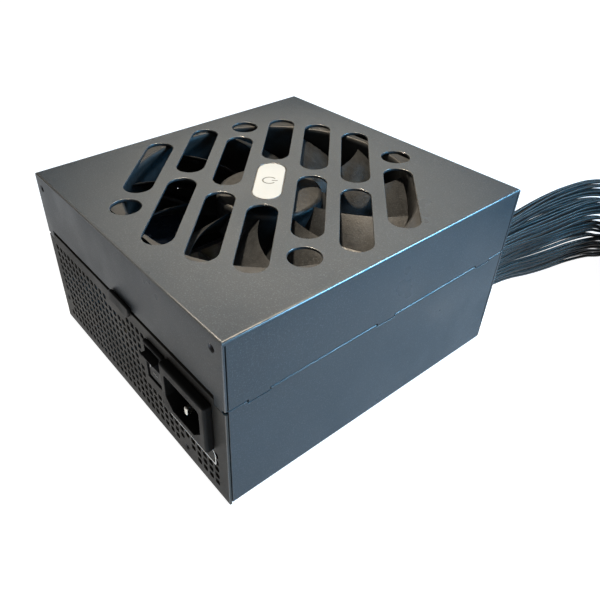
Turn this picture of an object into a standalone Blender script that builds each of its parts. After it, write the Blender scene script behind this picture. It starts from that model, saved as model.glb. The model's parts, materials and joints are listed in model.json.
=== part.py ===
"""A computer power supply: slotted sheet-metal case, fan, mains inlet, rocker switch and cables.

Metres, +Z up. The origin is the centre of the case's underside. The rear face, with the mains
inlet, looks along -Y; the cables leave the far face at +Y, near the right side (+X).
"""
from math import acos, cos, degrees, pi, radians, sin, sqrt

import bmesh
import bpy
from mathutils import Matrix, Vector

# Driving dimensions of the case
WIDTH = 0.150
DEPTH = 0.160
HEIGHT = 0.086
SHEET = 0.001
SEAM = 0.0543                 # lower edge of the cover
TRAY_TOP = 0.0537             # upper edge of the tray's walls
BEND = 0.0012                 # outer radius of the folded edges
GAP = 0.0003                  # between pieces that touch
TAB_PLACES = (-0.065, 0.0, 0.064)
TAB_WIDTH = 0.0096
TAB_DROP = 0.0013
CORNER_SLIT = 0.0006

# Slots in the top, in rows that run from the far left to the near right corner
ROW_PITCH = 0.0192
SLOT_RADIUS = 0.0066
SLOT_ROWS = ((0, 0.0285, 0.0649), (1, -0.0600, -0.0195), (1, 0.0, 0.0400),
             (2, -0.0509, -0.0085), (2, 0.0105, 0.0472), (3, -0.0113, 0.0280))
ROUND_HOLES = ((1, 0.0592), (3, -0.0303))
BADGE_HALF = 0.0110
BADGE_RADIUS = 0.0063
BADGE_RECESS = 0.0006

# Cover screws, on the left and the far wall: place along the wall, and height
COVER_SCREWS = (("left", (-0.050, 0.062)), ("left", (0.050, 0.062)),
                ("far", (-0.050, 0.062)), ("far", (0.030, 0.062)))
TONGUE_HALF = 0.006
TONGUE_HEIGHTS = (0.046, 0.068)

# Rear panel
PANEL_TOP = 0.0553
PANEL_SHOULDER = 0.0684       # half width of the raised middle of the panel's upper edge
REAR_SEAM = 0.0575            # lower edge of the cover's rear flange
VENT_PITCH = (0.0042, 0.00417)
VENT_SIDE = 0.0029
VENT_FIRST_ROW = 0.0067
VENT_ROWS = 11
VENT_COLUMNS = 33
CASE_HOLES = ((-0.069, 0.080), (0.069, 0.080), (-0.069, 0.016), (0.045, 0.006))
CASE_HOLE_RADIUS = 0.00175
CASE_HOLE_CLEAR = 0.0056      # around a case hole the panel isn't perforated

# Mains inlet and switch, centres in X and Z
INLET = (0.0515, 0.03895)
INLET_FLANGE = (0.0310, 0.0251)
INLET_CAVITY = (0.0240, 0.0166)
INLET_PROUD = 0.0040
INLET_CUTOUT = (0.0276, 0.0206)
SWITCH = (0.0275, 0.0400)
SWITCH_BEZEL = (0.0150, 0.0210)
SWITCH_CUTOUT = (0.0134, 0.0202)
SWITCH_PROUD = 0.0020
ROCKER_HALF_WIDTH = 0.0052
ROCKER_BORE = 0.0013
SWITCH_PIVOT_Y = -0.0780
ROCKER_TILT = 13.0

# Fan
FAN_SIDE = 0.135
FAN_TOP = HEIGHT - SHEET - GAP
FAN_HEIGHT = 0.025
FAN_BORE = 0.0646
BLADE_TIP = 0.0630
HUB_RADIUS = 0.0242
HUB_TOP = 0.0812
BLADES = 11
BLADE_PHASE = 24.6            # degrees, leading edge at three quarters of the blade
BLADE_ARC = 28.0
HUB_WALL = 0.0018
FRAME_FLANGE = 0.004          # thickness of the frame's two square flanges
SPOKE_TURNS = (20, 110, 200, 290)

# Cables: four flat ribbons, stacked at the grommet and coiled in one pile
CABLE_D = 0.0084
CABLE_X = 0.0660
COIL_CENTRE = (0.128, 0.222)
COIL_RADIUS = 0.048           # of a cable's centre line where it enters the coil
COIL_STEP = 0.004             # by which the one turn closes in
COIL_INNER = 0.0405
COIL_OUTER = 0.0530
COIL_HEIGHTS = (0.0052, 0.0157, 0.0262, 0.0367)
COIL_LAYER = 0.0100
TAIL_RADIUS = 0.021
TAIL_STRAIGHT = 0.004
ROUTE_XY = ((0.0660, 0.0823), (0.0660, 0.0960), (0.0662, 0.1120), (0.0668, 0.1280),
            (0.0680, 0.1460), (0.0700, 0.1640), (0.0730, 0.1820), (0.0754, 0.1945))
ROUTE_Z = {
    "drive_cable": (0.0270, 0.0264, 0.0240, 0.0205, 0.0176, 0.0160, 0.0136, 0.0100),
    "graphics_cable": (0.0370, 0.0367, 0.0350, 0.0324, 0.0303, 0.0290, 0.0265, 0.0218),
    "processor_cable": (0.0470, 0.0469, 0.0460, 0.0446, 0.0438, 0.0430, 0.0396, 0.0330),
    "mainboard_cable": (0.0570, 0.0570, 0.0567, 0.0562, 0.0554, 0.0538, 0.0494, 0.0430),
}
CONNECTORS = {"drive_cable": (0.0090, 0.0234, 0.0064), "graphics_cable": (0.0150, 0.0176, 0.0088),
              "processor_cable": (0.0150, 0.0176, 0.0088), "mainboard_cable": (0.0150, 0.0516, 0.0088)}

# Circuit board and what stands on it
BOARD_BOTTOM = 0.0070
BOARD_TOP = 0.0086
BOARD_HOLES = ((-0.062, -0.056), (0.062, -0.056), (-0.062, 0.066), (0.062, 0.066))


# ---------------------------------------------------------------- tools

def clear_scene():
    for thing in list(bpy.data.objects):
        bpy.data.objects.remove(thing, do_unlink=True)


def material(name, colour, roughness, metallic=0.0):
    made = bpy.data.materials.get(name)
    if made:
        return made
    made = bpy.data.materials.new(name)
    made.use_nodes = True
    shader = made.node_tree.nodes["Principled BSDF"]
    shader.inputs["Base Color"].default_value = (*colour, 1.0)
    shader.inputs["Roughness"].default_value = roughness
    shader.inputs["Metallic"].default_value = metallic
    return made


def add_object(name, bm, paint, smooth=None):
    """Turns a bmesh into a named object with one material."""
    bmesh.ops.recalc_face_normals(bm, faces=bm.faces)
    mesh = bpy.data.meshes.new(name)
    bm.to_mesh(mesh)
    bm.free()
    if smooth:
        mesh.shade_smooth()
        mesh.set_sharp_from_angle(angle=radians(smooth))
    made = bpy.data.objects.new(name, mesh)
    bpy.context.scene.collection.objects.link(made)
    if paint:
        mesh.materials.append(paint)
    return made


def box_mesh(low, high):
    bm = bmesh.new()
    size = [b - a for a, b in zip(low, high)]
    middle = [(a + b) / 2 for a, b in zip(low, high)]
    bmesh.ops.create_cube(bm, size=1.0, matrix=Matrix.Translation(middle) @ Matrix.Diagonal((*size, 1.0)))
    return bm


def round_edges(bm, radius, segments, pick):
    edges = [edge for edge in bm.edges if pick(edge)]
    bmesh.ops.bevel(bm, geom=edges, offset=radius, segments=segments, profile=0.5, affect="EDGES")


def box(name, low, high, paint, radius=0.0, segments=2):
    """A block, with all its edges rounded when a radius is given."""
    bm = box_mesh(low, high)
    if radius:
        round_edges(bm, radius, segments, lambda edge: True)
    return add_object(name, bm, paint, smooth=35 if radius else None)


def stadium(centre, along, half, radius, steps=7):
    """Outline of a slot with round ends; along is its direction."""
    across = (-along[1], along[0])
    points = []
    for end in (1, -1):
        for step in range(steps + 1):
            turn = pi / 2 - pi * step / steps
            forward = end * (half + radius * cos(turn))
            side = end * radius * sin(turn)
            points.append((centre[0] + along[0] * forward + across[0] * side,
                           centre[1] + along[1] * forward + across[1] * side))
    return points


def circle(centre, radius, steps=16):
    return [(centre[0] + radius * cos(2 * pi * k / steps), centre[1] + radius * sin(2 * pi * k / steps))
            for k in range(steps)]


def rectangle(centre, size):
    a, b = size[0] / 2, size[1] / 2
    return [(centre[0] + u, centre[1] + v) for u, v in ((-a, -b), (a, -b), (a, b), (-a, b))]


def level(height):
    """Frame of a horizontal outline at a height."""
    return Matrix.Translation((0, 0, height))


def upright(y):
    """Frame of an outline in X and Z that is extruded towards +Y."""
    return Matrix(((1, 0, 0, 0), (0, 0, 1, y), (0, 1, 0, 0), (0, 0, 0, 1)))


def crosswise(x):
    """Frame of an outline in Y and Z that is extruded towards +X."""
    return Matrix(((0, 0, 1, x), (1, 0, 0, 0), (0, 1, 0, 0), (0, 0, 0, 1)))


def extrusion_mesh(outline, depth, frame, holes=()):
    """A plate of the outline's shape, pierced by the holes."""
    bm = bmesh.new()
    edges = []
    for loop in (outline, *holes):
        corners = [bm.verts.new((a, b, 0)) for a, b in loop]
        edges += [bm.edges.new((corners[k - 1], corners[k])) for k in range(len(corners))]
    bmesh.ops.triangle_fill(bm, use_beauty=True, use_dissolve=False, edges=edges)
    raised = bmesh.ops.extrude_face_region(bm, geom=bm.faces[:])
    moved = [item for item in raised["geom"] if isinstance(item, bmesh.types.BMVert)]
    bmesh.ops.translate(bm, verts=moved, vec=(0, 0, depth))
    bmesh.ops.transform(bm, matrix=frame, verts=bm.verts)
    return bm


def extrusion(name, outline, depth, frame, paint, holes=(), smooth=None):
    return add_object(name, extrusion_mesh(outline, depth, frame, holes), paint, smooth)


def turned_mesh(profile, centre, steps=32):
    """A closed outline in radius and height, turned about a vertical line."""
    bm = bmesh.new()
    rings = []
    for step in range(steps):
        turn = 2 * pi * step / steps
        rings.append([bm.verts.new((centre[0] + r * cos(turn), centre[1] + r * sin(turn), z)) if r > 1e-7
                      else None for r, z in profile])
    poles = {k: bm.verts.new((centre[0], centre[1], z)) for k, (r, z) in enumerate(profile) if r <= 1e-7}
    for step in range(steps):
        here, there = rings[step - 1], rings[step]
        for k in range(len(profile)):
            n = (k + 1) % len(profile)
            if k in poles and n in poles:
                continue
            loop = [here[k] or poles[k], here[n] or poles[n]]
            loop += [there[n]] if there[n] and n not in poles else []
            loop += [there[k]] if there[k] and k not in poles else []
            bm.faces.new(loop)
    return bm


def turned(name, profile, centre, paint, steps=32, smooth=35):
    return add_object(name, turned_mesh(profile, centre, steps), paint, smooth)


def rod(name, low, high, radius, paint, steps=14):
    """A round bar between two points."""
    start, end = Vector(low), Vector(high)
    bm = bmesh.new()
    spin = (end - start).to_track_quat("Z", "Y").to_matrix().to_4x4()
    bmesh.ops.create_cone(bm, cap_ends=True, segments=steps, radius1=radius, radius2=radius,
                          depth=(end - start).length,
                          matrix=Matrix.Translation((start + end) / 2) @ spin)
    return add_object(name, bm, paint, smooth=35)


def combine(target, other, operation):
    """Applies a Boolean to the target and removes the other object."""
    step = target.modifiers.new("shape", "BOOLEAN")
    step.operation = operation
    step.solver = "EXACT"
    step.object = other
    bpy.context.view_layer.update()
    shaped = bpy.data.meshes.new_from_object(target.evaluated_get(bpy.context.evaluated_depsgraph_get()))
    target.modifiers.clear()
    target.data = shaped
    bpy.data.objects.remove(other, do_unlink=True)
    return target


def cut(target, bm):
    return combine(target, add_object("cutter", bm, None), "DIFFERENCE")


def join(target, bm):
    return combine(target, add_object("addition", bm, None), "UNION")


def boxes_mesh(spans):
    """Several separate blocks in one mesh."""
    bm = bmesh.new()
    for low, high in spans:
        size = [b - a for a, b in zip(low, high)]
        middle = [(a + b) / 2 for a, b in zip(low, high)]
        place = Matrix.Translation(middle) @ Matrix.Diagonal((*size, 1.0))
        bmesh.ops.create_cube(bm, size=1.0, matrix=place)
    return bm


# ---------------------------------------------------------------- case

def slot_place(row, along):
    """Point in X and Y of a place along a row of slots."""
    across = row * ROW_PITCH
    return ((along + across) / sqrt(2), (across - along) / sqrt(2))


def slot_outlines():
    outlines = []
    direction = (1 / sqrt(2), -1 / sqrt(2))
    for sign in (1, -1):
        for row, start, end in SLOT_ROWS:
            middle = slot_place(sign * row, sign * (start + end) / 2)
            outlines.append(stadium(middle, direction, (end - start) / 2, SLOT_RADIUS))
        for row, place in ROUND_HOLES:
            outlines.append(circle(slot_place(sign * row, sign * place), SLOT_RADIUS + 0.0001, 20))
    return outlines


def outlines_mesh(outlines, depth, frame):
    """Several separate plates in one mesh."""
    joined = bmesh.new()
    for outline in outlines:
        piece = extrusion_mesh(outline, depth, frame)
        holder = bpy.data.meshes.new("holder")
        piece.to_mesh(holder)
        piece.free()
        joined.from_mesh(holder)
        bpy.data.meshes.remove(holder)
    return joined


def tab_spans(half, low, high):
    """The blocks where the cover's tabs reach down into the tray's side walls."""
    spans = []
    for side in (-1, 1):
        across = sorted((side * (WIDTH / 2 - 2 * SHEET), side * (WIDTH / 2 + SHEET)))
        for place in TAB_PLACES:
            spans.append(((across[0], place - half, low), (across[1], place + half, high)))
    return spans


def slit_spans(low, high):
    """The thin open corners between neighbouring walls of folded sheet."""
    spans = []
    for side in (-1, 1):
        across = sorted((side * (WIDTH / 2 - 2 * SHEET), side * (WIDTH / 2 + SHEET)))
        for end in (-1, 1):
            face = end * (DEPTH / 2 - SHEET)
            along = sorted((face, face - end * CORNER_SLIT))
            spans.append(((across[0], along[0], low), (across[1], along[1], high)))
    return spans


def top_cover():
    paint = material("powder_coat_cover", (0.11, 0.105, 0.10), 0.62)
    half_w, half_d = WIDTH / 2, DEPTH / 2
    bottom = SEAM - TAB_DROP
    bm = box_mesh((-half_w, -half_d, bottom), (half_w, half_d, HEIGHT))
    round_edges(bm, BEND, 3, lambda edge: all(v.co.z > HEIGHT - 1e-6 for v in edge.verts))
    cover = add_object("top_cover", bm, paint)
    inside = (half_w - SHEET, half_d - SHEET)
    cut(cover, box_mesh((-inside[0], -inside[1], bottom - 0.01), (inside[0], inside[1], HEIGHT - SHEET)))
    cut(cover, outlines_mesh(slot_outlines(), 0.004, level(HEIGHT - 0.003)))
    low = bottom - 0.002
    edges = [-half_d - 0.001]
    for place in TAB_PLACES:
        edges += [place - TAB_WIDTH / 2, place + TAB_WIDTH / 2]
    edges.append(half_d + 0.001)
    spans = []
    for side in (-1, 1):
        across = sorted((side * (half_w - 0.002), side * (half_w + 0.001)))
        for start, end in zip(edges[::2], edges[1::2]):
            spans.append(((across[0], start, low), (across[1], end, SEAM)))
    cut(cover, boxes_mesh(spans))
    cut(cover, box_mesh((-half_w - 0.001, half_d - 0.002, low), (half_w + 0.001, half_d + 0.001, SEAM)))
    rear = -half_d
    cut(cover, box_mesh((-PANEL_SHOULDER, rear - 0.001, low), (PANEL_SHOULDER, rear + 0.002, REAR_SEAM)))
    cut(cover, boxes_mesh(slit_spans(low, HEIGHT - 0.0016)))
    holes = [circle(place, CASE_HOLE_RADIUS) for place in CASE_HOLES if place[1] > SEAM]
    cut(cover, outlines_mesh(holes, 0.003, upright(rear - 0.001)))
    cut(cover, boxes_mesh([grommet_hole_span()]))
    screw_holes = [cover_screw_hole(place, 0.0019) for place in COVER_SCREWS]
    for hole in screw_holes:
        cut(cover, hole)
    seat = stadium((0, 0), (1 / sqrt(2), -1 / sqrt(2)), BADGE_HALF, BADGE_RADIUS + 0.0005)
    cut(cover, extrusion_mesh(seat, 0.002, level(HEIGHT - BADGE_RECESS)))
    return cover


def badge():
    paint = material("ivory_badge", (0.87, 0.86, 0.77), 0.35)
    outline = stadium((0, 0), (1 / sqrt(2), -1 / sqrt(2)), BADGE_HALF, BADGE_RADIUS)
    return extrusion("badge", outline, BADGE_RECESS - 0.0002, level(HEIGHT - BADGE_RECESS + 0.0002), paint,
                     smooth=35)


def ear_spans():
    """Tongues of the tray that stand behind the cover and take its screws."""
    spans = []
    wall, far = -WIDTH / 2, DEPTH / 2
    inset = SHEET + GAP
    low, high = TONGUE_HEIGHTS
    for face, (along, _) in COVER_SCREWS:
        start, end = along - TONGUE_HALF, along + TONGUE_HALF
        if face == "left":
            low_x = wall + inset
            spans.append(((low_x, start, low), (low_x + SHEET, end, high)))
            spans.append(((wall + SHEET / 2, start, low - 0.002), (low_x + SHEET, end, low + 0.004)))
        else:
            high_y = far - inset
            spans.append(((start, high_y - SHEET, low), (end, high_y, high)))
            spans.append(((start, high_y - SHEET, low - 0.002), (end, far - SHEET / 2, low + 0.004)))
    return spans


def base_tray():
    paint = material("powder_coat_tray", (0.115, 0.11, 0.105), 0.62)
    half_w, half_d = WIDTH / 2, DEPTH / 2
    front = -half_d + SHEET + CORNER_SLIT
    bm = box_mesh((-half_w, front, 0), (half_w, half_d, TRAY_TOP))
    round_edges(bm, BEND, 3, lambda edge: all(v.co.z < 1e-6 for v in edge.verts)
                and abs(edge.verts[0].co.y - edge.verts[1].co.y) > 0.01)
    tray = add_object("base_tray", bm, paint)
    cut(tray, box_mesh((-half_w + SHEET, -half_d - 0.01, SHEET), (half_w - SHEET, half_d - SHEET, 0.08)))
    cut(tray, boxes_mesh(tab_spans(TAB_WIDTH / 2 + 0.0006, SEAM - TAB_DROP - 0.0005, TRAY_TOP + 0.01)))
    reliefs = []
    for side in (-1, 1):
        across = sorted((side * (half_w - 0.002), side * (half_w + 0.001)))
        reliefs.append(((across[0], half_d - SHEET - CORNER_SLIT, 0.012),
                        (across[1], half_d - SHEET, TRAY_TOP + 0.01)))
    cut(tray, boxes_mesh(reliefs))
    cut(tray, boxes_mesh([grommet_hole_span()]))
    for span in ear_spans():
        join(tray, box_mesh(*span))
    for place in COVER_SCREWS:
        cut(tray, cover_screw_hole(place, 0.0018))
    return tray


def in_vent(x, z):
    """True where the rear panel is perforated."""
    if z > 0.046:
        return x < 0.0175 and not -0.014 < x < 0.001
    if z > 0.0335:
        return x < 0.0135
    if z > 0.0295:
        return x < 0.0095
    if z > 0.0210:
        return x < 0.0135 or (x > 0.0660 and z < 0.0250)
    if z > 0.0175:
        return x < 0.0305 or x > 0.0660
    return True


def vent_places():
    """Centres of the panel's small square holes."""
    places = []
    for row in range(VENT_ROWS):
        z = VENT_FIRST_ROW + row * VENT_PITCH[1]
        for column in range(VENT_COLUMNS):
            x = (column - VENT_COLUMNS // 2) * VENT_PITCH[0]
            clear = all((x - a) ** 2 + (z - b) ** 2 > CASE_HOLE_CLEAR ** 2 for a, b in CASE_HOLES)
            if clear and in_vent(x, z):
                places.append((x, z))
    return places


def rear_panel():
    paint = material("powder_coat_panel", (0.12, 0.11, 0.105), 0.6)
    half = WIDTH / 2
    shoulder = PANEL_SHOULDER - 0.0003
    outline = [(-half, 0), (half, 0), (half, TRAY_TOP - 0.001), (shoulder, TRAY_TOP - 0.001),
               (shoulder, PANEL_TOP), (-shoulder, PANEL_TOP), (-shoulder, TRAY_TOP - 0.001),
               (-half, TRAY_TOP - 0.001)]
    holes = [rectangle(place, (VENT_SIDE, VENT_SIDE)) for place in vent_places()]
    holes += [circle(place, CASE_HOLE_RADIUS) for place in CASE_HOLES if place[1] < SEAM]
    holes.append(rectangle(INLET, INLET_CUTOUT))
    holes.append(rectangle(SWITCH, SWITCH_CUTOUT))
    return extrusion("rear_panel", outline, SHEET, upright(-DEPTH / 2), paint, holes)


def seam_catch():
    """The small black catch that clips the cover to the rear panel at the seam."""
    paint = material("black_plastic_catch", (0.012, 0.012, 0.013), 0.5)
    face = -DEPTH / 2 - GAP
    outline = [(-0.0070, 0.0556), (-0.0058, 0.0540), (0.0020, 0.0542), (0.0040, 0.0528), (0.0078, 0.0530),
               (0.0098, 0.0548), (0.0116, 0.0578), (0.0110, 0.0598), (-0.0045, 0.0602), (-0.0068, 0.0588)]
    bm = extrusion_mesh(outline, -0.0018, upright(face))
    return add_object("seam_catch", bm, paint, smooth=35)


def screw_line(place):
    """A point on the case's face at a screw, and the direction out of the case."""
    face, (along, height) = place
    if face == "left":
        return Vector((-WIDTH / 2, along, height)), Vector((-1, 0, 0))
    return Vector((along, DEPTH / 2, height)), Vector((0, 1, 0))


def cover_screw_hole(place, radius):
    point, out = screw_line(place)
    bm = bmesh.new()
    spin = out.to_track_quat("Z", "Y").to_matrix().to_4x4()
    bmesh.ops.create_cone(bm, cap_ends=True, segments=16, radius1=radius, radius2=radius, depth=0.009,
                          matrix=Matrix.Translation(point - out * 0.001) @ spin)
    return bm


def cover_screws():
    """Low round heads on short shanks, through the cover into the tray's tongues."""
    paint = material("black_zinc_screw", (0.06, 0.06, 0.065), 0.35, 1.0)
    for number, place in enumerate(COVER_SCREWS, 1):
        point, out = screw_line(place)
        profile = [(0.0, -0.0060), (0.0014, -0.0060), (0.0014, 0.0003), (0.0030, 0.0003),
                   (0.0030, 0.0008), (0.0022, 0.0013), (0.0008, 0.0013), (0.0008, 0.0005), (0.0, 0.0005)]
        bm = turned_mesh(profile, (0, 0), 10)
        spin = out.to_track_quat("Z", "Y").to_matrix().to_4x4()
        bmesh.ops.transform(bm, matrix=Matrix.Translation(point) @ spin, verts=bm.verts)
        add_object(f"cover_screw_{number}", bm, paint, smooth=35)


# ---------------------------------------------------------------- mains inlet and switch

def inlet():
    black = material("black_plastic_inlet", (0.015, 0.015, 0.016), 0.42)
    brass = material("plated_pin", (0.75, 0.74, 0.70), 0.25, 1.0)
    face = -DEPTH / 2
    x, z = INLET
    width, height = INLET_FLANGE
    front = face - INLET_PROUD
    bm = box_mesh((x - width / 2, front, z - height / 2), (x + width / 2, face - GAP, z + height / 2))
    round_edges(bm, 0.0012, 3, lambda edge: all(v.co.y < front + 1e-6 for v in edge.verts)
                or abs(edge.verts[0].co.y - edge.verts[1].co.y) > 0.001)
    body = add_object("inlet_body", bm, black, smooth=35)
    join(body, box_mesh((x - 0.0134, face - 0.002, z - 0.0099), (x + 0.0134, face + 0.0160, z + 0.0099)))
    a, b, cut_corner = INLET_CAVITY[0] / 2, INLET_CAVITY[1] / 2, 0.0045
    middle = z - 0.0004
    cavity = [(x - a, middle - b + cut_corner), (x - a + cut_corner, middle - b),
              (x + a - cut_corner, middle - b), (x + a, middle - b + cut_corner),
              (x + a, middle + b - 0.001), (x + a - 0.001, middle + b),
              (x - a + 0.001, middle + b), (x - a, middle + b - 0.001)]
    cut(body, extrusion_mesh(cavity, 0.019, upright(face - 0.005)))
    pins = {"earth_pin": (0.0, -0.0030, -0.0026), "live_pin": (0.007, 0.0010, 0.0036),
            "neutral_pin": (-0.007, 0.0010, 0.0036)}
    for name, (side, lift, tip) in pins.items():
        low = (x + side - 0.001, face + tip, z + lift - 0.002)
        high = (x + side + 0.001, face + 0.0210, z + lift + 0.002)
        cut(body, box_mesh((low[0] - GAP, face + 0.010, low[2] - GAP),
                           (high[0] + GAP, face + 0.020, high[2] + GAP)))
        box(name, low, high, brass, radius=0.0004, segments=1)
    return body


def rocker_outline():
    """Side outline of the rocker about its pivot, upper end tilted out of the bezel."""
    flat = [(-0.0052, 0.0074), (-0.0036, 0.0), (-0.0052, -0.0074), (-0.0010, -0.0066),
            (0.0024, -0.0024), (0.0024, 0.0024), (-0.0010, 0.0066)]
    turn = radians(ROCKER_TILT)
    return [(SWITCH_PIVOT_Y + y * cos(turn) - z * sin(turn), SWITCH[1] + y * sin(turn) + z * cos(turn))
            for y, z in flat]


def power_switch():
    black = material("black_plastic_switch", (0.014, 0.014, 0.015), 0.4)
    glossy = material("black_plastic_rocker", (0.012, 0.012, 0.012), 0.28)
    steel = material("steel_pivot", (0.6, 0.6, 0.6), 0.3, 1.0)
    face = -DEPTH / 2
    x, z = SWITCH
    width, height = SWITCH_BEZEL
    front = face - SWITCH_PROUD
    bm = box_mesh((x - width / 2, front, z - height / 2), (x + width / 2, face - GAP, z + height / 2))
    round_edges(bm, 0.0010, 2, lambda edge: all(v.co.y < front + 1e-6 for v in edge.verts)
                or abs(edge.verts[0].co.y - edge.verts[1].co.y) > 0.001)
    body = add_object("switch_body", bm, black, smooth=35)
    join(body, box_mesh((x - 0.0064, face - 0.001, z - 0.0098), (x + 0.0064, face + 0.0130, z + 0.0098)))
    cut(body, box_mesh((x - 0.0056, face - 0.005, z - 0.0089), (x + 0.0056, face + 0.0115, z + 0.0089)))
    axle = circle((SWITCH_PIVOT_Y, z), ROCKER_BORE, 14)
    cut(body, extrusion_mesh(axle, 0.016, crosswise(x - 0.008)))
    rocker = extrusion("switch_rocker", rocker_outline(), 2 * ROCKER_HALF_WIDTH,
                       crosswise(x - ROCKER_HALF_WIDTH), glossy, [axle], smooth=35)
    rod("rocker_pin", (x - 0.0062, SWITCH_PIVOT_Y, z), (x + 0.0062, SWITCH_PIVOT_Y, z), 0.0010, steel)
    return rocker


# ---------------------------------------------------------------- fan

def fan_corner_places():
    reach = FAN_SIDE / 2 - 0.0062
    return [(a * reach, b * reach) for a in (-1, 1) for b in (-1, 1)]


def rounded_square(side, radius, steps=5):
    points = []
    for turn, (a, b) in zip((0, 90, 180, 270), ((1, 1), (-1, 1), (-1, -1), (1, -1))):
        for step in range(steps + 1):
            angle = radians(turn + 90 * step / steps)
            points.append((a * (side / 2 - radius) + radius * cos(angle),
                           b * (side / 2 - radius) + radius * sin(angle)))
    return points


def fan_frame():
    paint = material("black_plastic_fan_frame", (0.02, 0.02, 0.022), 0.55)
    bottom = FAN_TOP - FAN_HEIGHT
    corners = [circle(place, 0.0022, 10) for place in fan_corner_places()]
    bore = circle((0, 0), FAN_BORE, 48)
    square = rounded_square(FAN_SIDE, 0.007)
    frame = extrusion("fan_frame", square, FRAME_FLANGE, level(FAN_TOP - FRAME_FLANGE), paint,
                      [bore, *corners])
    lower = extrusion_mesh(square, FRAME_FLANGE, level(bottom), [bore, *corners])
    join(frame, lower)
    tube = [(FAN_BORE - 0.0002, bottom + 0.001), (FAN_BORE + 0.0022, bottom + 0.001),
            (FAN_BORE + 0.0022, FAN_TOP - 0.001), (FAN_BORE - 0.0002, FAN_TOP - 0.001)]
    join(frame, turned_mesh(tube, (0, 0), 48))
    hub = [(0.0, bottom + 0.0004), (0.022, bottom + 0.0004), (0.022, bottom + 0.0026), (0.0, bottom + 0.0026)]
    spokes = bmesh.new()
    for turn in SPOKE_TURNS:
        place = Matrix.Rotation(radians(turn), 4, "Z") @ Matrix.Translation((0.0425, 0, bottom + 0.0013))
        bmesh.ops.create_cube(spokes, size=1.0, matrix=place @ Matrix.Diagonal((0.0455, 0.0040, 0.0020, 1)))
    disc = add_object("addition", turned_mesh(hub, (0, 0), 32), None)
    join(disc, spokes)
    return combine(frame, disc, "UNION")


def blade_point(radius, share, lower):
    """A point of one blade: share runs from the leading edge to the trailing edge."""
    outward = (radius - 0.023) / 0.040
    sweep = -8.0 + 13.0 * max(outward, 0.0) ** 1.6
    angle = radians(BLADE_PHASE + sweep - BLADE_ARC * share)
    top = HUB_TOP - 0.0012 + 0.0012 * outward
    height = top - 0.0160 * (0.72 * share + 0.28 * share ** 2)
    thick = 0.0011 + 0.0010 * sin(pi * min(share * 1.1 + 0.05, 1.0))
    return Vector((radius * cos(angle), radius * sin(angle), height - (thick if lower else 0.0)))


def fan_rotor():
    paint = material("grey_plastic_rotor", (0.07, 0.07, 0.07), 0.5)
    bottom = FAN_TOP - FAN_HEIGHT + 0.0038
    profile = [(0.0, HUB_TOP), (HUB_RADIUS - 0.0020, HUB_TOP), (HUB_RADIUS - 0.0006, HUB_TOP - 0.0006),
               (HUB_RADIUS, HUB_TOP - 0.0020), (HUB_RADIUS, bottom), (HUB_RADIUS - HUB_WALL, bottom),
               (HUB_RADIUS - HUB_WALL, HUB_TOP - HUB_WALL), (0.0, HUB_TOP - HUB_WALL)]
    rotor = turned("fan_rotor", profile, (0, 0), paint, steps=44)
    blades = bmesh.new()
    radii = [HUB_RADIUS - 0.0008 + (BLADE_TIP - HUB_RADIUS + 0.0008) * k / 5 for k in range(6)]
    shares = [k / 4 for k in range(5)]
    for blade in range(BLADES):
        spin = Matrix.Rotation(2 * pi * blade / BLADES, 3, "Z")
        upper, under = [[[blades.verts.new(spin @ blade_point(r, s, lower)) for s in shares] for r in radii]
                        for lower in (False, True)]
        rows, columns = len(radii) - 1, len(shares) - 1
        for i in range(rows):
            for j in range(columns):
                blades.faces.new((upper[i][j], upper[i + 1][j], upper[i + 1][j + 1], upper[i][j + 1]))
                blades.faces.new((under[i][j], under[i][j + 1], under[i + 1][j + 1], under[i + 1][j]))
        rim = [(i, 0) for i in range(rows)] + [(rows, j) for j in range(columns)]
        rim += [(i, columns) for i in range(rows, 0, -1)] + [(0, j) for j in range(columns, 0, -1)]
        for (a, b), (c, d) in zip(rim, rim[1:] + rim[:1]):
            blades.faces.new((upper[a][b], under[a][b], under[c][d], upper[c][d]))
    join(rotor, blades)
    return rotor


def fan_drive():
    """The turning magnet and shaft, and the fixed coils and bearing inside the hub."""
    dark = material("ferrite", (0.03, 0.03, 0.03), 0.5)
    steel = material("steel_shaft", (0.62, 0.62, 0.62), 0.25, 1.0)
    copper = material("copper_coils", (0.45, 0.16, 0.06), 0.35, 1.0)
    bronze = material("bronze_bearing", (0.45, 0.30, 0.12), 0.35, 1.0)
    floor = FAN_TOP - FAN_HEIGHT + 0.0026 + GAP
    inner = HUB_RADIUS - HUB_WALL - GAP
    ring = [(inner - 0.0020, 0.0655), (inner, 0.0655), (inner, 0.0775), (inner - 0.0020, 0.0775)]
    turned("rotor_magnet", ring, (0, 0), dark, steps=24)
    rod("fan_shaft", (0, 0, floor + 0.0012), (0, 0, HUB_TOP - HUB_WALL - GAP), 0.0015, steel)
    coil = [(0.0038, floor), (0.0170, floor), (0.0170, 0.0770), (0.0150, 0.0778), (0.0038, 0.0778)]
    turned("fan_stator", coil, (0, 0), copper, steps=20)
    sleeve = [(0.00185, floor), (0.0035, floor), (0.0035, 0.0760), (0.00185, 0.0760)]
    turned("fan_bearing", sleeve, (0, 0), bronze, steps=12)


def fan_screws():
    paint = material("black_screw", (0.05, 0.05, 0.055), 0.35, 1.0)
    bottom = FAN_TOP - FAN_HEIGHT
    profile = [(0.0, bottom - 0.0019), (0.0026, bottom - 0.0019), (0.0030, bottom - 0.0014),
               (0.0030, bottom - GAP), (0.0015, bottom - GAP), (0.0015, FAN_TOP), (0.0, FAN_TOP)]
    for number, place in enumerate(fan_corner_places(), 1):
        turned(f"fan_screw_{number}", profile, place, paint, steps=10)


# ---------------------------------------------------------------- board and electronics

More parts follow.
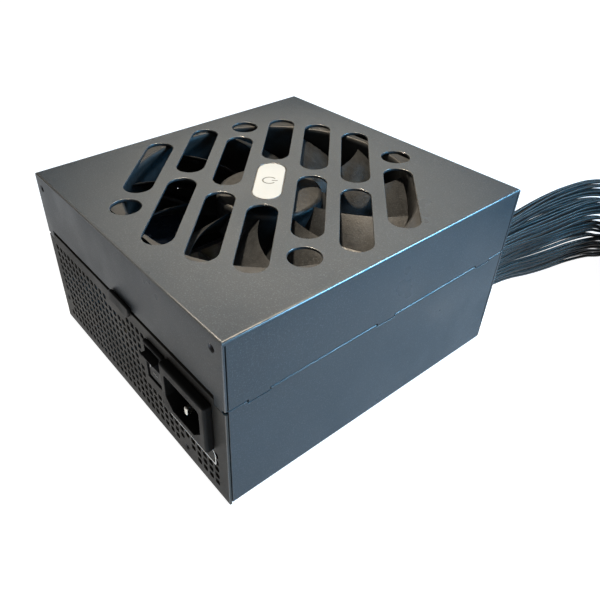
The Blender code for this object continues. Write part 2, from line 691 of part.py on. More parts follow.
def board_and_supports():
    green = material("circuit_board", (0.05, 0.12, 0.05), 0.45)
    film = material("insulating_film", (0.75, 0.72, 0.60), 0.3)
    brass = material("brass_standoff", (0.60, 0.45, 0.20), 0.3, 1.0)
    middle = (0.0, 0.005)
    holes = [circle(place, 0.0016, 10) for place in BOARD_HOLES]
    extrusion("main_board", rectangle(middle, (0.138, 0.132)), BOARD_TOP - BOARD_BOTTOM,
              level(BOARD_BOTTOM), green, holes)
    wide = [circle(place, 0.0042, 12) for place in BOARD_HOLES]
    extrusion("insulation_sheet", rectangle(middle, (0.140, 0.134)), 0.0005, level(SHEET + GAP), film, wide)
    for number, place in enumerate(BOARD_HOLES, 1):
        profile = [(0.0013, SHEET + GAP), (0.0032, SHEET + GAP), (0.0032, BOARD_BOTTOM - GAP),
                   (0.0013, BOARD_BOTTOM - GAP)]
        turned(f"standoff_{number}", profile, place, brass, steps=6, smooth=None)


def finned_sink(name, x, span, height, paint):
    """A heat sink of sheet aluminium with upright fins along one side."""
    start, end = span
    half, reach, thick = 0.0015, 0.0115, 0.0014
    outline = [(x - half, start), (x + half, start)]
    count = 7
    pitch = (end - start) / count
    for fin in range(count):
        low = start + fin * pitch + pitch * 0.3
        high = low + thick
        outline += [(x + half, low), (x + reach, low), (x + reach, high), (x + half, high)]
    outline += [(x + half, end), (x - half, end)]
    return extrusion(name, outline, height, level(BOARD_TOP + GAP), paint)


def capacitor(name, place, radius, height, paint):
    base = BOARD_TOP + GAP
    profile = [(0.0, base), (radius, base), (radius, base + height - 0.0008),
               (radius - 0.0008, base + height), (0.0, base + height)]
    return turned(name, profile, place, paint, steps=16)


def choke(name, place, radius, core, paint, steps=(16, 6)):
    """A wound ring lying flat on the board."""
    height = BOARD_TOP + GAP + core
    profile = [(radius + core * cos(2 * pi * k / steps[1]), height + core * sin(2 * pi * k / steps[1]))
               for k in range(steps[1])]
    return turned(name, profile, place, paint, steps=steps[0], smooth=60)


def transformer(name, place, size, core_paint, wire_paint):
    """A ferrite frame round a wound bobbin, with the winding showing at both ends."""
    base = BOARD_TOP + GAP
    x, y = place
    a, b, height = size
    outer = rectangle((x, base + height / 2), (a, height))
    window = rectangle((x, base + height / 2), (a - 0.012, height - 0.012))
    extrusion(f"{name}_core", outer, b, upright(y - b / 2), core_paint, [window])
    low = (x - a / 2 + 0.0063, y - b / 2 - 0.004, base + 0.0063)
    high = (x + a / 2 - 0.0063, y + b / 2 + 0.004, base + height - 0.0063)
    box(f"{name}_winding", low, high, wire_paint, radius=0.003, segments=2)


def electronics():
    metal = material("aluminium_sink", (0.55, 0.56, 0.58), 0.4, 1.0)
    dark = material("capacitor_sleeve", (0.02, 0.03, 0.06), 0.35)
    ferrite = material("transformer_ferrite", (0.05, 0.05, 0.05), 0.6)
    tape = material("winding_tape", (0.55, 0.40, 0.06), 0.45)
    enamel = material("enamelled_copper", (0.45, 0.16, 0.05), 0.35, 1.0)
    finned_sink("primary_sink", -0.024, (-0.044, 0.050), 0.038, metal)
    finned_sink("secondary_sink", 0.034, (-0.036, 0.056), 0.038, metal)
    capacitor("bulk_capacitor", (-0.050, -0.030), 0.0150, 0.042, dark)
    capacitor("output_capacitor", (0.059, 0.002), 0.0065, 0.026, dark)
    transformer("main_transformer", (0.011, 0.014), (0.036, 0.034, 0.034), ferrite, tape)
    base = BOARD_TOP + GAP
    box("standby_transformer", (0.002, -0.038, base), (0.020, -0.020, base + 0.016), tape, 0.002, 2)
    choke("correction_choke", (-0.050, 0.026), 0.0105, 0.0052, enamel)
    choke("output_choke", (0.010, 0.050), 0.0090, 0.0045, enamel)
    box("mains_filter", (0.038, -0.058, base), (0.056, -0.042, base + 0.018), ferrite, 0.002, 2)


# ---------------------------------------------------------------- cables

def grommet_hole_span():
    """The opening in the far wall, across the seam."""
    return ((0.0600, DEPTH / 2 - 0.002, 0.0205), (0.0720, DEPTH / 2 + 0.001, 0.0635))


def pill(middle, size, steps=6):
    """Upright outline with round ends, in X and Z."""
    radius = size[0] / 2
    return stadium(middle, (0, 1), size[1] / 2 - radius, radius, steps)


def grommet():
    paint = material("black_rubber_grommet", (0.012, 0.012, 0.012), 0.6)
    face = DEPTH / 2
    middle = (CABLE_X, 0.0420)
    hole = pill(middle, (0.0096, 0.0408))
    ring = extrusion("cable_grommet", pill(middle, (0.0150, 0.0460)), 0.0016, upright(face + GAP), paint,
                     [hole], smooth=35)
    join(ring, extrusion_mesh(rectangle(middle, (0.0114, 0.0424)), 0.0032, upright(face - 0.0020), [hole]))
    return ring


def harness_bundle():
    """The wires inside the case, gathered at the grommet."""
    paint = material("black_wire_bundle", (0.013, 0.013, 0.014), 0.45)
    outline = pill((CABLE_X, 0.0420), (0.0084, 0.0396))
    length = 0.0138
    return extrusion("harness_bundle", outline, length, upright(ROUTE_XY[0][1] - GAP - length), paint,
                     smooth=35)


def smooth_curve(points, count):
    """Evenly shared points on one smooth curve through the given points."""
    knots = [Vector(point) for point in points]
    ends = [2 * knots[0] - knots[1], *knots, 2 * knots[-1] - knots[-2]]
    spans = len(knots) - 1
    made = []
    for k in range(count):
        place = spans * k / (count - 1)
        start = min(int(place), spans - 1)
        t = place - start
        a, b, c, d = ends[start:start + 4]
        made.append(0.5 * (2 * b + (c - a) * t + (2 * a - 5 * b + 4 * c - d) * t * t
                           + (3 * b - a - 3 * c + d) * t ** 3))
    return made


def tube(name, points, diameter, paint):
    curve = bpy.data.curves.new(name, "CURVE")
    curve.dimensions = "3D"
    curve.bevel_depth = diameter / 2
    curve.bevel_resolution = 2
    curve.use_fill_caps = True
    line = curve.splines.new("POLY")
    line.points.add(len(points) - 1)
    for spot, point in zip(line.points, points):
        spot.co = (*point, 1.0)
    curve.materials.append(paint)
    made = bpy.data.objects.new(name, curve)
    bpy.context.scene.collection.objects.link(made)
    return made


def tail_points(height, reach, count=9):
    """The half turn that leads a cable's end from the coil to the coil's middle.

    reach is how far round the half turn the solid coil covers the cable, in degrees.
    """
    entry = Vector((COIL_CENTRE[0] - COIL_RADIUS + COIL_STEP, COIL_CENTRE[1], height))
    middle = entry + Vector((TAIL_RADIUS, 0, 0))
    points = []
    for k in range(count):
        turn = radians(reach + (180 - reach) * k / (count - 1))
        points.append(middle + TAIL_RADIUS * Vector((-cos(turn), sin(turn), 0)))
    points.append(points[-1] + Vector((0, -TAIL_STRAIGHT, 0)))
    return points


def cables():
    black = material("black_cable", (0.012, 0.012, 0.013), 0.42)
    nylon = material("black_nylon_connector", (0.012, 0.012, 0.012), 0.5)
    inner = COIL_RADIUS - COIL_STEP - TAIL_RADIUS
    limit = COIL_INNER - CABLE_D / 2 - GAP
    clear = degrees(acos((limit ** 2 - inner ** 2 - TAIL_RADIUS ** 2) / (2 * inner * TAIL_RADIUS))) + 6.0
    edge = 0.0012
    for (name, heights), height in zip(ROUTE_Z.items(), COIL_HEIGHTS):
        base = name.removesuffix("_cable")
        route = [(x, y, z) for (x, y), z in zip(ROUTE_XY, heights)]
        tube(name, smooth_curve(route, 14), CABLE_D, black)
        low, high = height - COIL_LAYER / 2, height + COIL_LAYER / 2
        ring = [(COIL_INNER, low), (COIL_OUTER - edge, low), (COIL_OUTER, low + edge),
                (COIL_OUTER, high - edge), (COIL_OUTER - edge, high), (COIL_INNER, high)]
        turned(f"{base}_coil", ring, COIL_CENTRE, black, steps=28)
        tail = tail_points(height, clear)
        tube(f"{base}_tail", tail, CABLE_D, black)
        length, width, thick = CONNECTORS[name]
        end = tail[-1]
        box(f"{base}_plug", (end.x - width / 2, end.y - GAP - length, height - thick / 2),
            (end.x + width / 2, end.y - GAP, height + thick / 2), nylon, radius=0.0008, segments=1)


def build():
    clear_scene()
    top_cover()
    badge()
    base_tray()
    rear_panel()
    seam_catch()
    cover_screws()
    inlet()
    power_switch()
    fan_frame()
    fan_rotor()
    fan_drive()
    fan_screws()
    board_and_supports()
    electronics()
    grommet()
    harness_bundle()
    cables()


build()
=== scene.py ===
"""Looks of a computer power supply: paint, fan, grille, cables and a plain studio."""
import json
from math import atan2, cos, pi, radians, sin, sqrt

import bmesh
import bpy
from mathutils import Matrix, Vector


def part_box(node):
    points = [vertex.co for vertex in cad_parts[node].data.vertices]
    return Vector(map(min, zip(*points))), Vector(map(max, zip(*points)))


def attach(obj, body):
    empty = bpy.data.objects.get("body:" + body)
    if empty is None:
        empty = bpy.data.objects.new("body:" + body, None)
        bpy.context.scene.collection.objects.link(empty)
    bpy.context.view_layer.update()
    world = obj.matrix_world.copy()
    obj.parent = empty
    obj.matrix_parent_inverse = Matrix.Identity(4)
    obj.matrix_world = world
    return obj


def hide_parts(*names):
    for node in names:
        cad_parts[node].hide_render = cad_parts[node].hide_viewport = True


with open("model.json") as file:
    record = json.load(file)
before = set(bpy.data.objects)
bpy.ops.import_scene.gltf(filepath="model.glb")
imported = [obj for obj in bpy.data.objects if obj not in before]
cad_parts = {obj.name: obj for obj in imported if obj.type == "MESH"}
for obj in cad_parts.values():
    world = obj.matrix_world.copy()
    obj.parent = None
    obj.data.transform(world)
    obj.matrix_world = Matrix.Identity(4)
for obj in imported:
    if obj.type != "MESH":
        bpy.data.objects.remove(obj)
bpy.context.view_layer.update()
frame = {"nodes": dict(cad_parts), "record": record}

# The case, as the frame has it
COVER_LOW, COVER_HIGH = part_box("top_cover")
PANEL_LOW, PANEL_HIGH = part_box("rear_panel")
WIDTH = COVER_HIGH[0] - COVER_LOW[0]
DEPTH = COVER_HIGH[1] - COVER_LOW[1]
HEIGHT = COVER_HIGH[2]
REAR = PANEL_LOW[1]
SHEET = PANEL_HIGH[1] - PANEL_LOW[1]

# Seams, tabs, folds and openings of the sheets, in metres like every length in this file
SEAM = 0.0543
TRAY_WALL = 0.0537
REAR_SEAM = 0.0575
PANEL_SHOULDER = 0.0684
TAB_PLACES = (-0.065, 0.0, 0.064)
TAB_WIDTH = 0.0096
BEND = 0.0012
CORNER_SLIT = 0.0006
SLIT_BELOW_TOP = 0.0016
CABLE_OPENING = ((0.0600, 0.0205), (0.0720, 0.0635))
SCREW_HOLE_RADIUS = 0.0019
PAST = 0.001                  # how far a cutter reaches past an outer face
INTO = 0.002                  # and how far behind it

# Slots in the top
ROW_PITCH = 0.0192
SLOT_RADIUS = 0.0066
SLOT_ROWS = ((0, 0.0285, 0.0649), (1, -0.0600, -0.0195), (1, 0.0, 0.0400),
             (2, -0.0509, -0.0085), (2, 0.0105, 0.0472), (3, -0.0113, 0.0280))
ROUND_HOLES = ((1, 0.0592), (3, -0.0303))
SLOT_LINE = (1 / sqrt(2), -1 / sqrt(2))
BADGE_HALF = 0.0110
BADGE_RADIUS = 0.0063
BADGE_RECESS = (0.0005, 0.0006)
BADGE_SEAT = (0.00008, 0.00045)
SIGN_RADIUS = 0.0030
SIGN_HALF_LINE = 0.11         # as a share of the radius
SIGN_HALF_GAP = radians(38)
SIGN_BAR = (0.0024, 0.0011, 0.00032)
INK_SUNK = 0.00001
INK_THICKNESS = 0.00003

# Rear panel
VENT_PITCH = (0.0042, 0.00417)
VENT_SIDE = 0.0029
VENT_CORNER = 0.0008
VENT_FIRST_ROW = 0.0067
VENT_ROWS = 11
VENT_COLUMNS_ASIDE = 16
LEFT, RIGHT = -WIDTH / 2, WIDTH / 2
# Stretches of X that are perforated above each height, the highest first
VENT_BANDS = (
    (0.0460, ((LEFT, -0.0140), (0.0010, 0.0175))),
    (0.0335, ((LEFT, 0.0135),)),
    (0.0295, ((LEFT, 0.0095),)),
    (0.0250, ((LEFT, 0.0135),)),
    (0.0210, ((LEFT, 0.0135), (0.0660, RIGHT))),
    (0.0175, ((LEFT, 0.0305), (0.0660, RIGHT))),
    (0.0, ((LEFT, RIGHT),)),
)
CASE_HOLES = ((-0.069, 0.080), (0.069, 0.080), (-0.069, 0.016), (0.045, 0.006))
CASE_HOLE_RADIUS = 0.00175
CASE_HOLE_CLEAR = 0.0056      # around a case hole the panel isn't perforated
THREAD_TURNS = 4
THREAD_LENGTH = 0.0021
THREAD_DEPTHS = (0.00005, 0.00028)
BORDER_RIGHT = 0.0668
BORDER_SHOULDER = 0.0220
BORDER_CORNER = 0.0030

# Mains inlet and switch, centres in X and Z
INLET = (0.0515, 0.03895)
INLET_CUTOUT = (0.0276, 0.0206)
SWITCH = (0.0275, 0.0400)
SWITCH_CUTOUT = (0.0134, 0.0202)
CUTOUT_CORNER = 0.0004
SWITCH_PIVOT_Y = -0.0780
ROCKER_TILT = 13.0
ROCKER_SLOPE = atan2(0.0016, 0.0074)
MARK_PLACE = (-0.00442, 0.0037)
MARK_THICKNESS = 0.00006

# Fan
FRAME_LOW, FRAME_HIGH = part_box("fan_frame")
FAN_BORE = 0.0646
BLADE_TIP = 0.0630
HUB_RADIUS = 0.0242
HUB_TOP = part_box("fan_rotor")[1][2]
BLADES = 11
BLADE_PHASE = 24.6
BLADE_ARC = 28.0
BLADE_ROOT = 0.023
BLADE_SPAN = 0.040
BLADE_SWEEP = (-8.0, 13.0, 1.6)
BLADE_TOP_RISE = 0.0012
BLADE_FALL = 0.0160
BLADE_THIN, BLADE_SWELL = 0.0003, 0.0017
FRAME_FLANGE = 0.0040
FRAME_CORNER = 0.007
SCREW_INSET, SCREW_BORE = 0.0062, 0.0022
MOUTH = 0.0016                # by how much the radius of each opening exceeds the fan's bore
SHROUD = 0.0022
SPOKE_TURNS = (20, 110, 200, 290)
HUB_WALL = 0.0018
HUB_ROUND = 0.0022

# Cables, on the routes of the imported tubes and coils
COIL_CENTRE = (0.128, 0.222)
COIL_RADIUS = 0.048
COIL_STEP = 0.004
COIL_HEIGHTS = (0.0052, 0.0157, 0.0262, 0.0367)
TAIL_RADIUS = 0.021
TAIL_STRAIGHT = 0.004
ROUTE_POINTS, TURN_POINTS, TAIL_POINTS = 70, 96, 24
ROUTE_XY = ((0.0660, 0.0823), (0.0660, 0.0960), (0.0662, 0.1120), (0.0668, 0.1280),
            (0.0680, 0.1460), (0.0700, 0.1640), (0.0730, 0.1820), (0.0754, 0.1945))
ROUTE_Z = {
    "drive": (0.0270, 0.0264, 0.0240, 0.0205, 0.0176, 0.0160, 0.0136, 0.0100),
    "graphics": (0.0370, 0.0367, 0.0350, 0.0324, 0.0303, 0.0290, 0.0265, 0.0218),
    "processor": (0.0470, 0.0469, 0.0460, 0.0446, 0.0438, 0.0430, 0.0396, 0.0330),
    "mainboard": (0.0570, 0.0570, 0.0567, 0.0562, 0.0554, 0.0538, 0.0494, 0.0430),
}
WIRE_RADIUS = 0.00084
WIRE_ROWS = 5
WIRE_COLUMNS = 2
WIRE_SIDES = 8
WIRE_GAP = 1.03               # spacing of touching wires, in diameters
FLOOR_GAP = 0.00005
FAN_OUT = (30, 84)
ASIDE = (0.0014, -0.0014, 0.0016, -0.0016)
TIE_WIDTH = 0.0050
TIE_SHEET = 0.0005
TIE_ROOM = 0.0054
TIE_MARGIN = 0.0046
TIE_CORNER = 0.0018
BUCKLE_HALF = (0.0034, 0.0030)
BUCKLE_OUT, BUCKLE_SUNK = 0.0014, 0.0002
PLUG_CORNER = 0.0005
PLUG_FACE_SHARE = 0.72        # part of its length that has cells, and a cell's share of its pitch
PLUG_CELLS = {"drive": (15, 1), "graphics": (4, 2), "processor": (4, 2), "mainboard": (12, 2)}

# Camera: angles in degrees, focal length in millimetres
CAMERA_PLACE = (0.18842, -0.15465, 0.21094)
CAMERA_AZIMUTH, CAMERA_ELEVATION, CAMERA_ROLL = 52.997, 37.548, -0.902
CAMERA_LENS = 35.90
CAMERA_SHIFT = (0.0856, -0.0162)

# Lamps: name, place, what they aim at, size, power and colour
AREA_LIGHTS = (
    ("side_window", (0.58, 0.52, 0.42), (0.07, 0.05, 0.05), (0.4, 0.35), 10.5, (0.06, 0.52, 1.0)),
    ("edge_strip", (0.73, 0.81, 0.66), (0.075, 0.0, 0.086), (0.7, 0.12), 10.5, (0.72, 0.90, 1.0)),
    ("floor_light", (0.0, 0.2, 2.4), (0, 0, 0), (3.0, 3.0), 6, (1.0, 0.98, 0.96)),
)
SPOT_PLACE, SPOT_TARGET = (-0.5, 0.25, 1.35), (0.012, 0.004, 0.086)
SPOT_POWER, SPOT_COLOUR = 300.0, (1.0, 0.84, 0.64)
SPOT_ANGLE, SPOT_BLEND, SPOT_RADIUS = 9.5, 0.4, 0.05
WORLD_COLOUR, WORLD_STRENGTH = (1.0, 0.95, 0.88, 1.0), 0.20
FLOOR_SIZE, FLOOR_DROP = 40.0, 0.0003


# ---------------------------------------------------------------- camera

def camera():
    """The camera at the viewing angle, with the small shift that the framing needs."""
    azimuth, elevation, roll = (radians(turn) for turn in (CAMERA_AZIMUTH, CAMERA_ELEVATION, CAMERA_ROLL))
    back = Vector((sin(azimuth) * cos(elevation), -cos(azimuth) * cos(elevation), sin(elevation)))
    right = Vector((0, 0, 1)).cross(back).normalized()
    up = back.cross(right)
    right, up = cos(roll) * right + sin(roll) * up, cos(roll) * up - sin(roll) * right
    data = bpy.data.cameras.new("camera")
    data.sensor_width = 36.0
    data.lens = CAMERA_LENS
    data.shift_x, data.shift_y = CAMERA_SHIFT
    data.clip_start, data.clip_end = 0.01, 20.0
    made = bpy.data.objects.new("camera", data)
    bpy.context.scene.collection.objects.link(made)
    turn = Matrix((right, up, back)).transposed()
    made.matrix_world = Matrix.Translation(CAMERA_PLACE) @ turn.to_4x4()
    bpy.context.scene.camera = made


# ---------------------------------------------------------------- mesh tools

def add(name, bm, smooth=None, body="case"):
    """Turns a bmesh into a piece that rides on a body."""
    bmesh.ops.recalc_face_normals(bm, faces=bm.faces)
    mesh = bpy.data.meshes.new(name)
    bm.to_mesh(mesh)
    bm.free()
    if smooth:
        mesh.shade_smooth()
        mesh.set_sharp_from_angle(angle=radians(smooth))
    made = bpy.data.objects.new(name, mesh)
    bpy.context.scene.collection.objects.link(made)
    if body:
        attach(made, body)
    return made


def block(low, high, into=None, turn=None):
    """A box between two corners."""
    bm = into or bmesh.new()
    size = [b - a for a, b in zip(low, high)]
    middle = [(a + b) / 2 for a, b in zip(low, high)]
    place = Matrix.Translation(middle) @ Matrix.Diagonal((*size, 1.0))
    bmesh.ops.create_cube(bm, size=1.0, matrix=turn @ place if turn else place)
    return bm


def stadium(centre, along, half, radius, steps=20):
    """Outline of a slot with round ends, whose centres lie half to each side."""
    across = (-along[1], along[0])
    points = []
    for end in (1, -1):
        for step in range(steps + 1):
            turn = pi / 2 - pi * step / steps
            forward = end * (half + radius * cos(turn))
            side = end * radius * sin(turn)
            points.append((centre[0] + along[0] * forward + across[0] * side,
                           centre[1] + along[1] * forward + across[1] * side))
    return points


def circle(centre, radius, steps=32):
    return [(centre[0] + radius * cos(2 * pi * k / steps), centre[1] + radius * sin(2 * pi * k / steps))
            for k in range(steps)]


def soft_rectangle(centre, size, radius, steps=4):
    points = []
    for quarter, (a, b) in enumerate(((1, 1), (-1, 1), (-1, -1), (1, -1))):
        for step in range(steps + 1):
            angle = pi / 2 * (quarter + step / steps)
            points.append((centre[0] + a * (size[0] / 2 - radius) + radius * cos(angle),
                           centre[1] + b * (size[1] / 2 - radius) + radius * sin(angle)))
    return points


def level(height):
    """Frame of an outline in X and Y that is extruded upwards."""
    return Matrix.Translation((0, 0, height))


def upright(y):
    """Frame of an outline in X and Z that is extruded towards +Y."""
    return Matrix(((1, 0, 0, 0), (0, 0, 1, y), (0, 1, 0, 0), (0, 0, 0, 1)))


def plate(outline, depth, place, holes=()):
    """A flat plate of the outline's shape, pierced by the holes."""
    bm = bmesh.new()
    edges = []
    for loop in (outline, *holes):
        corners = [bm.verts.new((a, b, 0)) for a, b in loop]
        edges += [bm.edges.new((corners[k - 1], corners[k])) for k in range(len(corners))]
    bmesh.ops.triangle_fill(bm, use_beauty=True, use_dissolve=False, edges=edges)
    raised = bmesh.ops.extrude_face_region(bm, geom=bm.faces[:])
    moved = [item for item in raised["geom"] if isinstance(item, bmesh.types.BMVert)]
    bmesh.ops.translate(bm, verts=moved, vec=(0, 0, depth))
    bmesh.ops.transform(bm, matrix=place, verts=bm.verts)
    return bm


def merge(into, other):
    """Adds another bmesh to a bmesh as a separate closed body."""
    bmesh.ops.recalc_face_normals(other, faces=other.faces)
    holder = bpy.data.meshes.new("holder")
    other.to_mesh(holder)
    other.free()
    into.from_mesh(holder)
    bpy.data.meshes.remove(holder)
    return into


def turned(profile, centre=(0, 0), steps=64):
    """A closed outline in radius and height, turned about a vertical line."""
    bm = bmesh.new()
    poles = {k: bm.verts.new((centre[0], centre[1], z))
             for k, (r, z) in enumerate(profile) if r <= 1e-7}
    rings = []
    for step in range(steps):
        turn = 2 * pi * step / steps
        rings.append([poles.get(k)
                      or bm.verts.new((centre[0] + r * cos(turn), centre[1] + r * sin(turn), z))
                      for k, (r, z) in enumerate(profile)])
    for step in range(steps):
        here, there = rings[step - 1], rings[step]
        for k in range(len(profile)):
            n = (k + 1) % len(profile)
            loop = []
            for corner in (here[k], here[n], there[n], there[k]):
                if corner not in loop:
                    loop.append(corner)
            if len(loop) > 2:
                bm.faces.new(loop)
    return bm


def cut(target, bm):
    """Cuts a shape out of a piece."""
    other = add("cutter", bm, body=None)
    step = target.modifiers.new("shape", "BOOLEAN")
    step.operation, step.solver, step.object = "DIFFERENCE", "EXACT", other
    bpy.context.view_layer.update()
    seen = target.evaluated_get(bpy.context.evaluated_depsgraph_get())
    shaped = bpy.data.meshes.new_from_object(seen)
    target.modifiers.clear()
    target.data = shaped
    bpy.data.objects.remove(other, do_unlink=True)


def soften(piece, width, pick=None, segments=2, angle=30):
    """Rounds the picked sharp edges of a piece and shades it smooth."""
    bm = bmesh.new()
    bm.from_mesh(piece.data)
    bmesh.ops.remove_doubles(bm, verts=bm.verts, dist=1e-6)
    bmesh.ops.dissolve_limit(bm, angle_limit=radians(1), verts=bm.verts, edges=bm.edges)
    sharp = [edge for edge in bm.edges if edge.is_manifold and edge.calc_face_angle(0) > radians(angle)
             and (pick is None or pick(edge))]
    bmesh.ops.bevel(bm, geom=sharp, offset=width, segments=segments, profile=0.5, affect="EDGES",
                    clamp_overlap=True)
    bmesh.ops.triangulate(bm, faces=[face for face in bm.faces if len(face.verts) > 4])
    bm.to_mesh(piece.data)
    bm.free()
    piece.data.shade_smooth()
    piece.data.set_sharp_from_angle(angle=radians(50))
    even = (piece.modifiers.get("even_normals")
            or piece.modifiers.new("even_normals", "WEIGHTED_NORMAL"))
    even.keep_sharp = True
    even.weight = 90
    return piece


def refined(node, width, body="case", segments=2, pick=None):
    """A copy of a CAD node with its sharp edges rounded, which stands for the node."""
    made = bpy.data.objects.new(f"{node}_finish", frame["nodes"][node].data.copy())
    bpy.context.scene.collection.objects.link(made)
    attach(made, body)
    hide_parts(node)
    return soften(made, width, pick, segments)


# ---------------------------------------------------------------- materials

def nodes_of(material):
    material.use_nodes = True
    tree = material.node_tree
    return tree, tree.nodes["Principled BSDF"]


def noise(tree, where, scale, detail=3.0, roughness=0.55):
    node = tree.nodes.new("ShaderNodeTexNoise")
    node.inputs["Scale"].default_value = scale
    node.inputs["Detail"].default_value = detail
    node.inputs["Roughness"].default_value = roughness
    tree.links.new(where, node.inputs["Vector"])
    return node.outputs["Fac"]


def spread(tree, value, low, high, start=0.3, end=0.7):
    """Maps a noise value onto a range."""
    node = tree.nodes.new("ShaderNodeMapRange")
    for socket, number in zip(("From Min", "From Max", "To Min", "To Max"), (start, end, low, high)):
        node.inputs[socket].default_value = number
    tree.links.new(value, node.inputs["Value"])
    return node.outputs["Result"]


def mixed(tree, share, first, second):
    node = tree.nodes.new("ShaderNodeMix")
    node.data_type = "RGBA"
    for socket, colour in ((6, first), (7, second)):
        if isinstance(colour, bpy.types.NodeSocket):
            tree.links.new(colour, node.inputs[socket])
        else:
            node.inputs[socket].default_value = (*colour, 1.0)
    tree.links.new(share, node.inputs[0])
    return node.outputs[2]


def bends(tree):
    """1 where a surface turns between the main directions of the case, 0 on its flat faces."""
    normal = tree.nodes.new("ShaderNodeTexCoord").outputs["Normal"]
    size = tree.nodes.new("ShaderNodeVectorMath")
    size.operation = "ABSOLUTE"
    tree.links.new(normal, size.inputs[0])
    parts = tree.nodes.new("ShaderNodeSeparateXYZ")
    tree.links.new(size.outputs["Vector"], parts.inputs["Vector"])
    largest = parts.outputs["X"]
    for axis in ("Y", "Z"):
        node = tree.nodes.new("ShaderNodeMath")
        node.operation = "MAXIMUM"
        tree.links.new(largest, node.inputs[0])
        tree.links.new(parts.outputs[axis], node.inputs[1])
        largest = node.outputs["Value"]
    return spread(tree, largest, 1.0, 0.0, 0.90, 0.985)


def surface(name, colour, rough, metallic=0.0, grain=(2600, 0.00004), mottle=(45, 0.12), shine=0.08,
            speck=0.0, squeeze=(1, 1, 1), bend=None, **sockets):
    """A material with fine grain, slow mottling of its colour and uneven gloss.

    grain is the scale and height of the bump, mottle the scale and strength of the colour's change,
    shine the change of roughness and speck the strength of pale flecks. bend is the roughness and
    the reflection of the paint on folded edges.
    """
    made = bpy.data.materials.new(name)
    tree, shader = nodes_of(made)
    where = tree.nodes.new("ShaderNodeTexCoord").outputs["Object"]
    mapping = tree.nodes.new("ShaderNodeMapping")
    mapping.inputs["Location"].default_value = (0.0137, 0.0291, 0.0173)
    mapping.inputs["Rotation"].default_value = (0.41, 0.73, 0.22)
    mapping.inputs["Scale"].default_value = squeeze
    tree.links.new(where, mapping.inputs["Vector"])
    where = mapping.outputs["Vector"]
    deep = tuple(channel * (1 - mottle[1]) for channel in colour)
    pale = tuple(min(channel * (1 + mottle[1]), 1.0) for channel in colour)
    tint = mixed(tree, spread(tree, noise(tree, where, mottle[0]), 0, 1), deep, pale)
    if speck:
        bright = tuple(min(channel * 1.9 + 0.006, 1.0) for channel in colour)
        fleck = spread(tree, noise(tree, where, 1900, 1.0), 0, speck, 0.55, 0.75)
        tint = mixed(tree, fleck, tint, bright)
    tree.links.new(tint, shader.inputs["Base Color"])
    gloss = noise(tree, where, mottle[0] * 2.7)
    gloss = spread(tree, gloss, max(rough - shine, 0.02), rough + shine)
    shader.inputs["Metallic"].default_value = metallic
    for socket, number in sockets.items():
        shader.inputs[socket.replace("_", " ")].default_value = number
    if bend:
        fold = bends(tree)
        level_now = shader.inputs["Specular IOR Level"].default_value
        tree.links.new(spread(tree, fold, level_now, bend[1], 0.0, 1.0),
                       shader.inputs["Specular IOR Level"])
        node = tree.nodes.new("ShaderNodeMix")
        tree.links.new(fold, node.inputs[0])
        tree.links.new(gloss, node.inputs[2])
        node.inputs[3].default_value = bend[0]
        gloss = node.outputs[0]
    tree.links.new(gloss, shader.inputs["Roughness"])
    bump = tree.nodes.new("ShaderNodeBump")
    bump.inputs["Strength"].default_value = 0.6
    bump.inputs["Distance"].default_value = grain[1]
    tree.links.new(noise(tree, where, grain[0], 2.0), bump.inputs["Height"])
    tree.links.new(bump.outputs["Normal"], shader.inputs["Normal"])
    return made


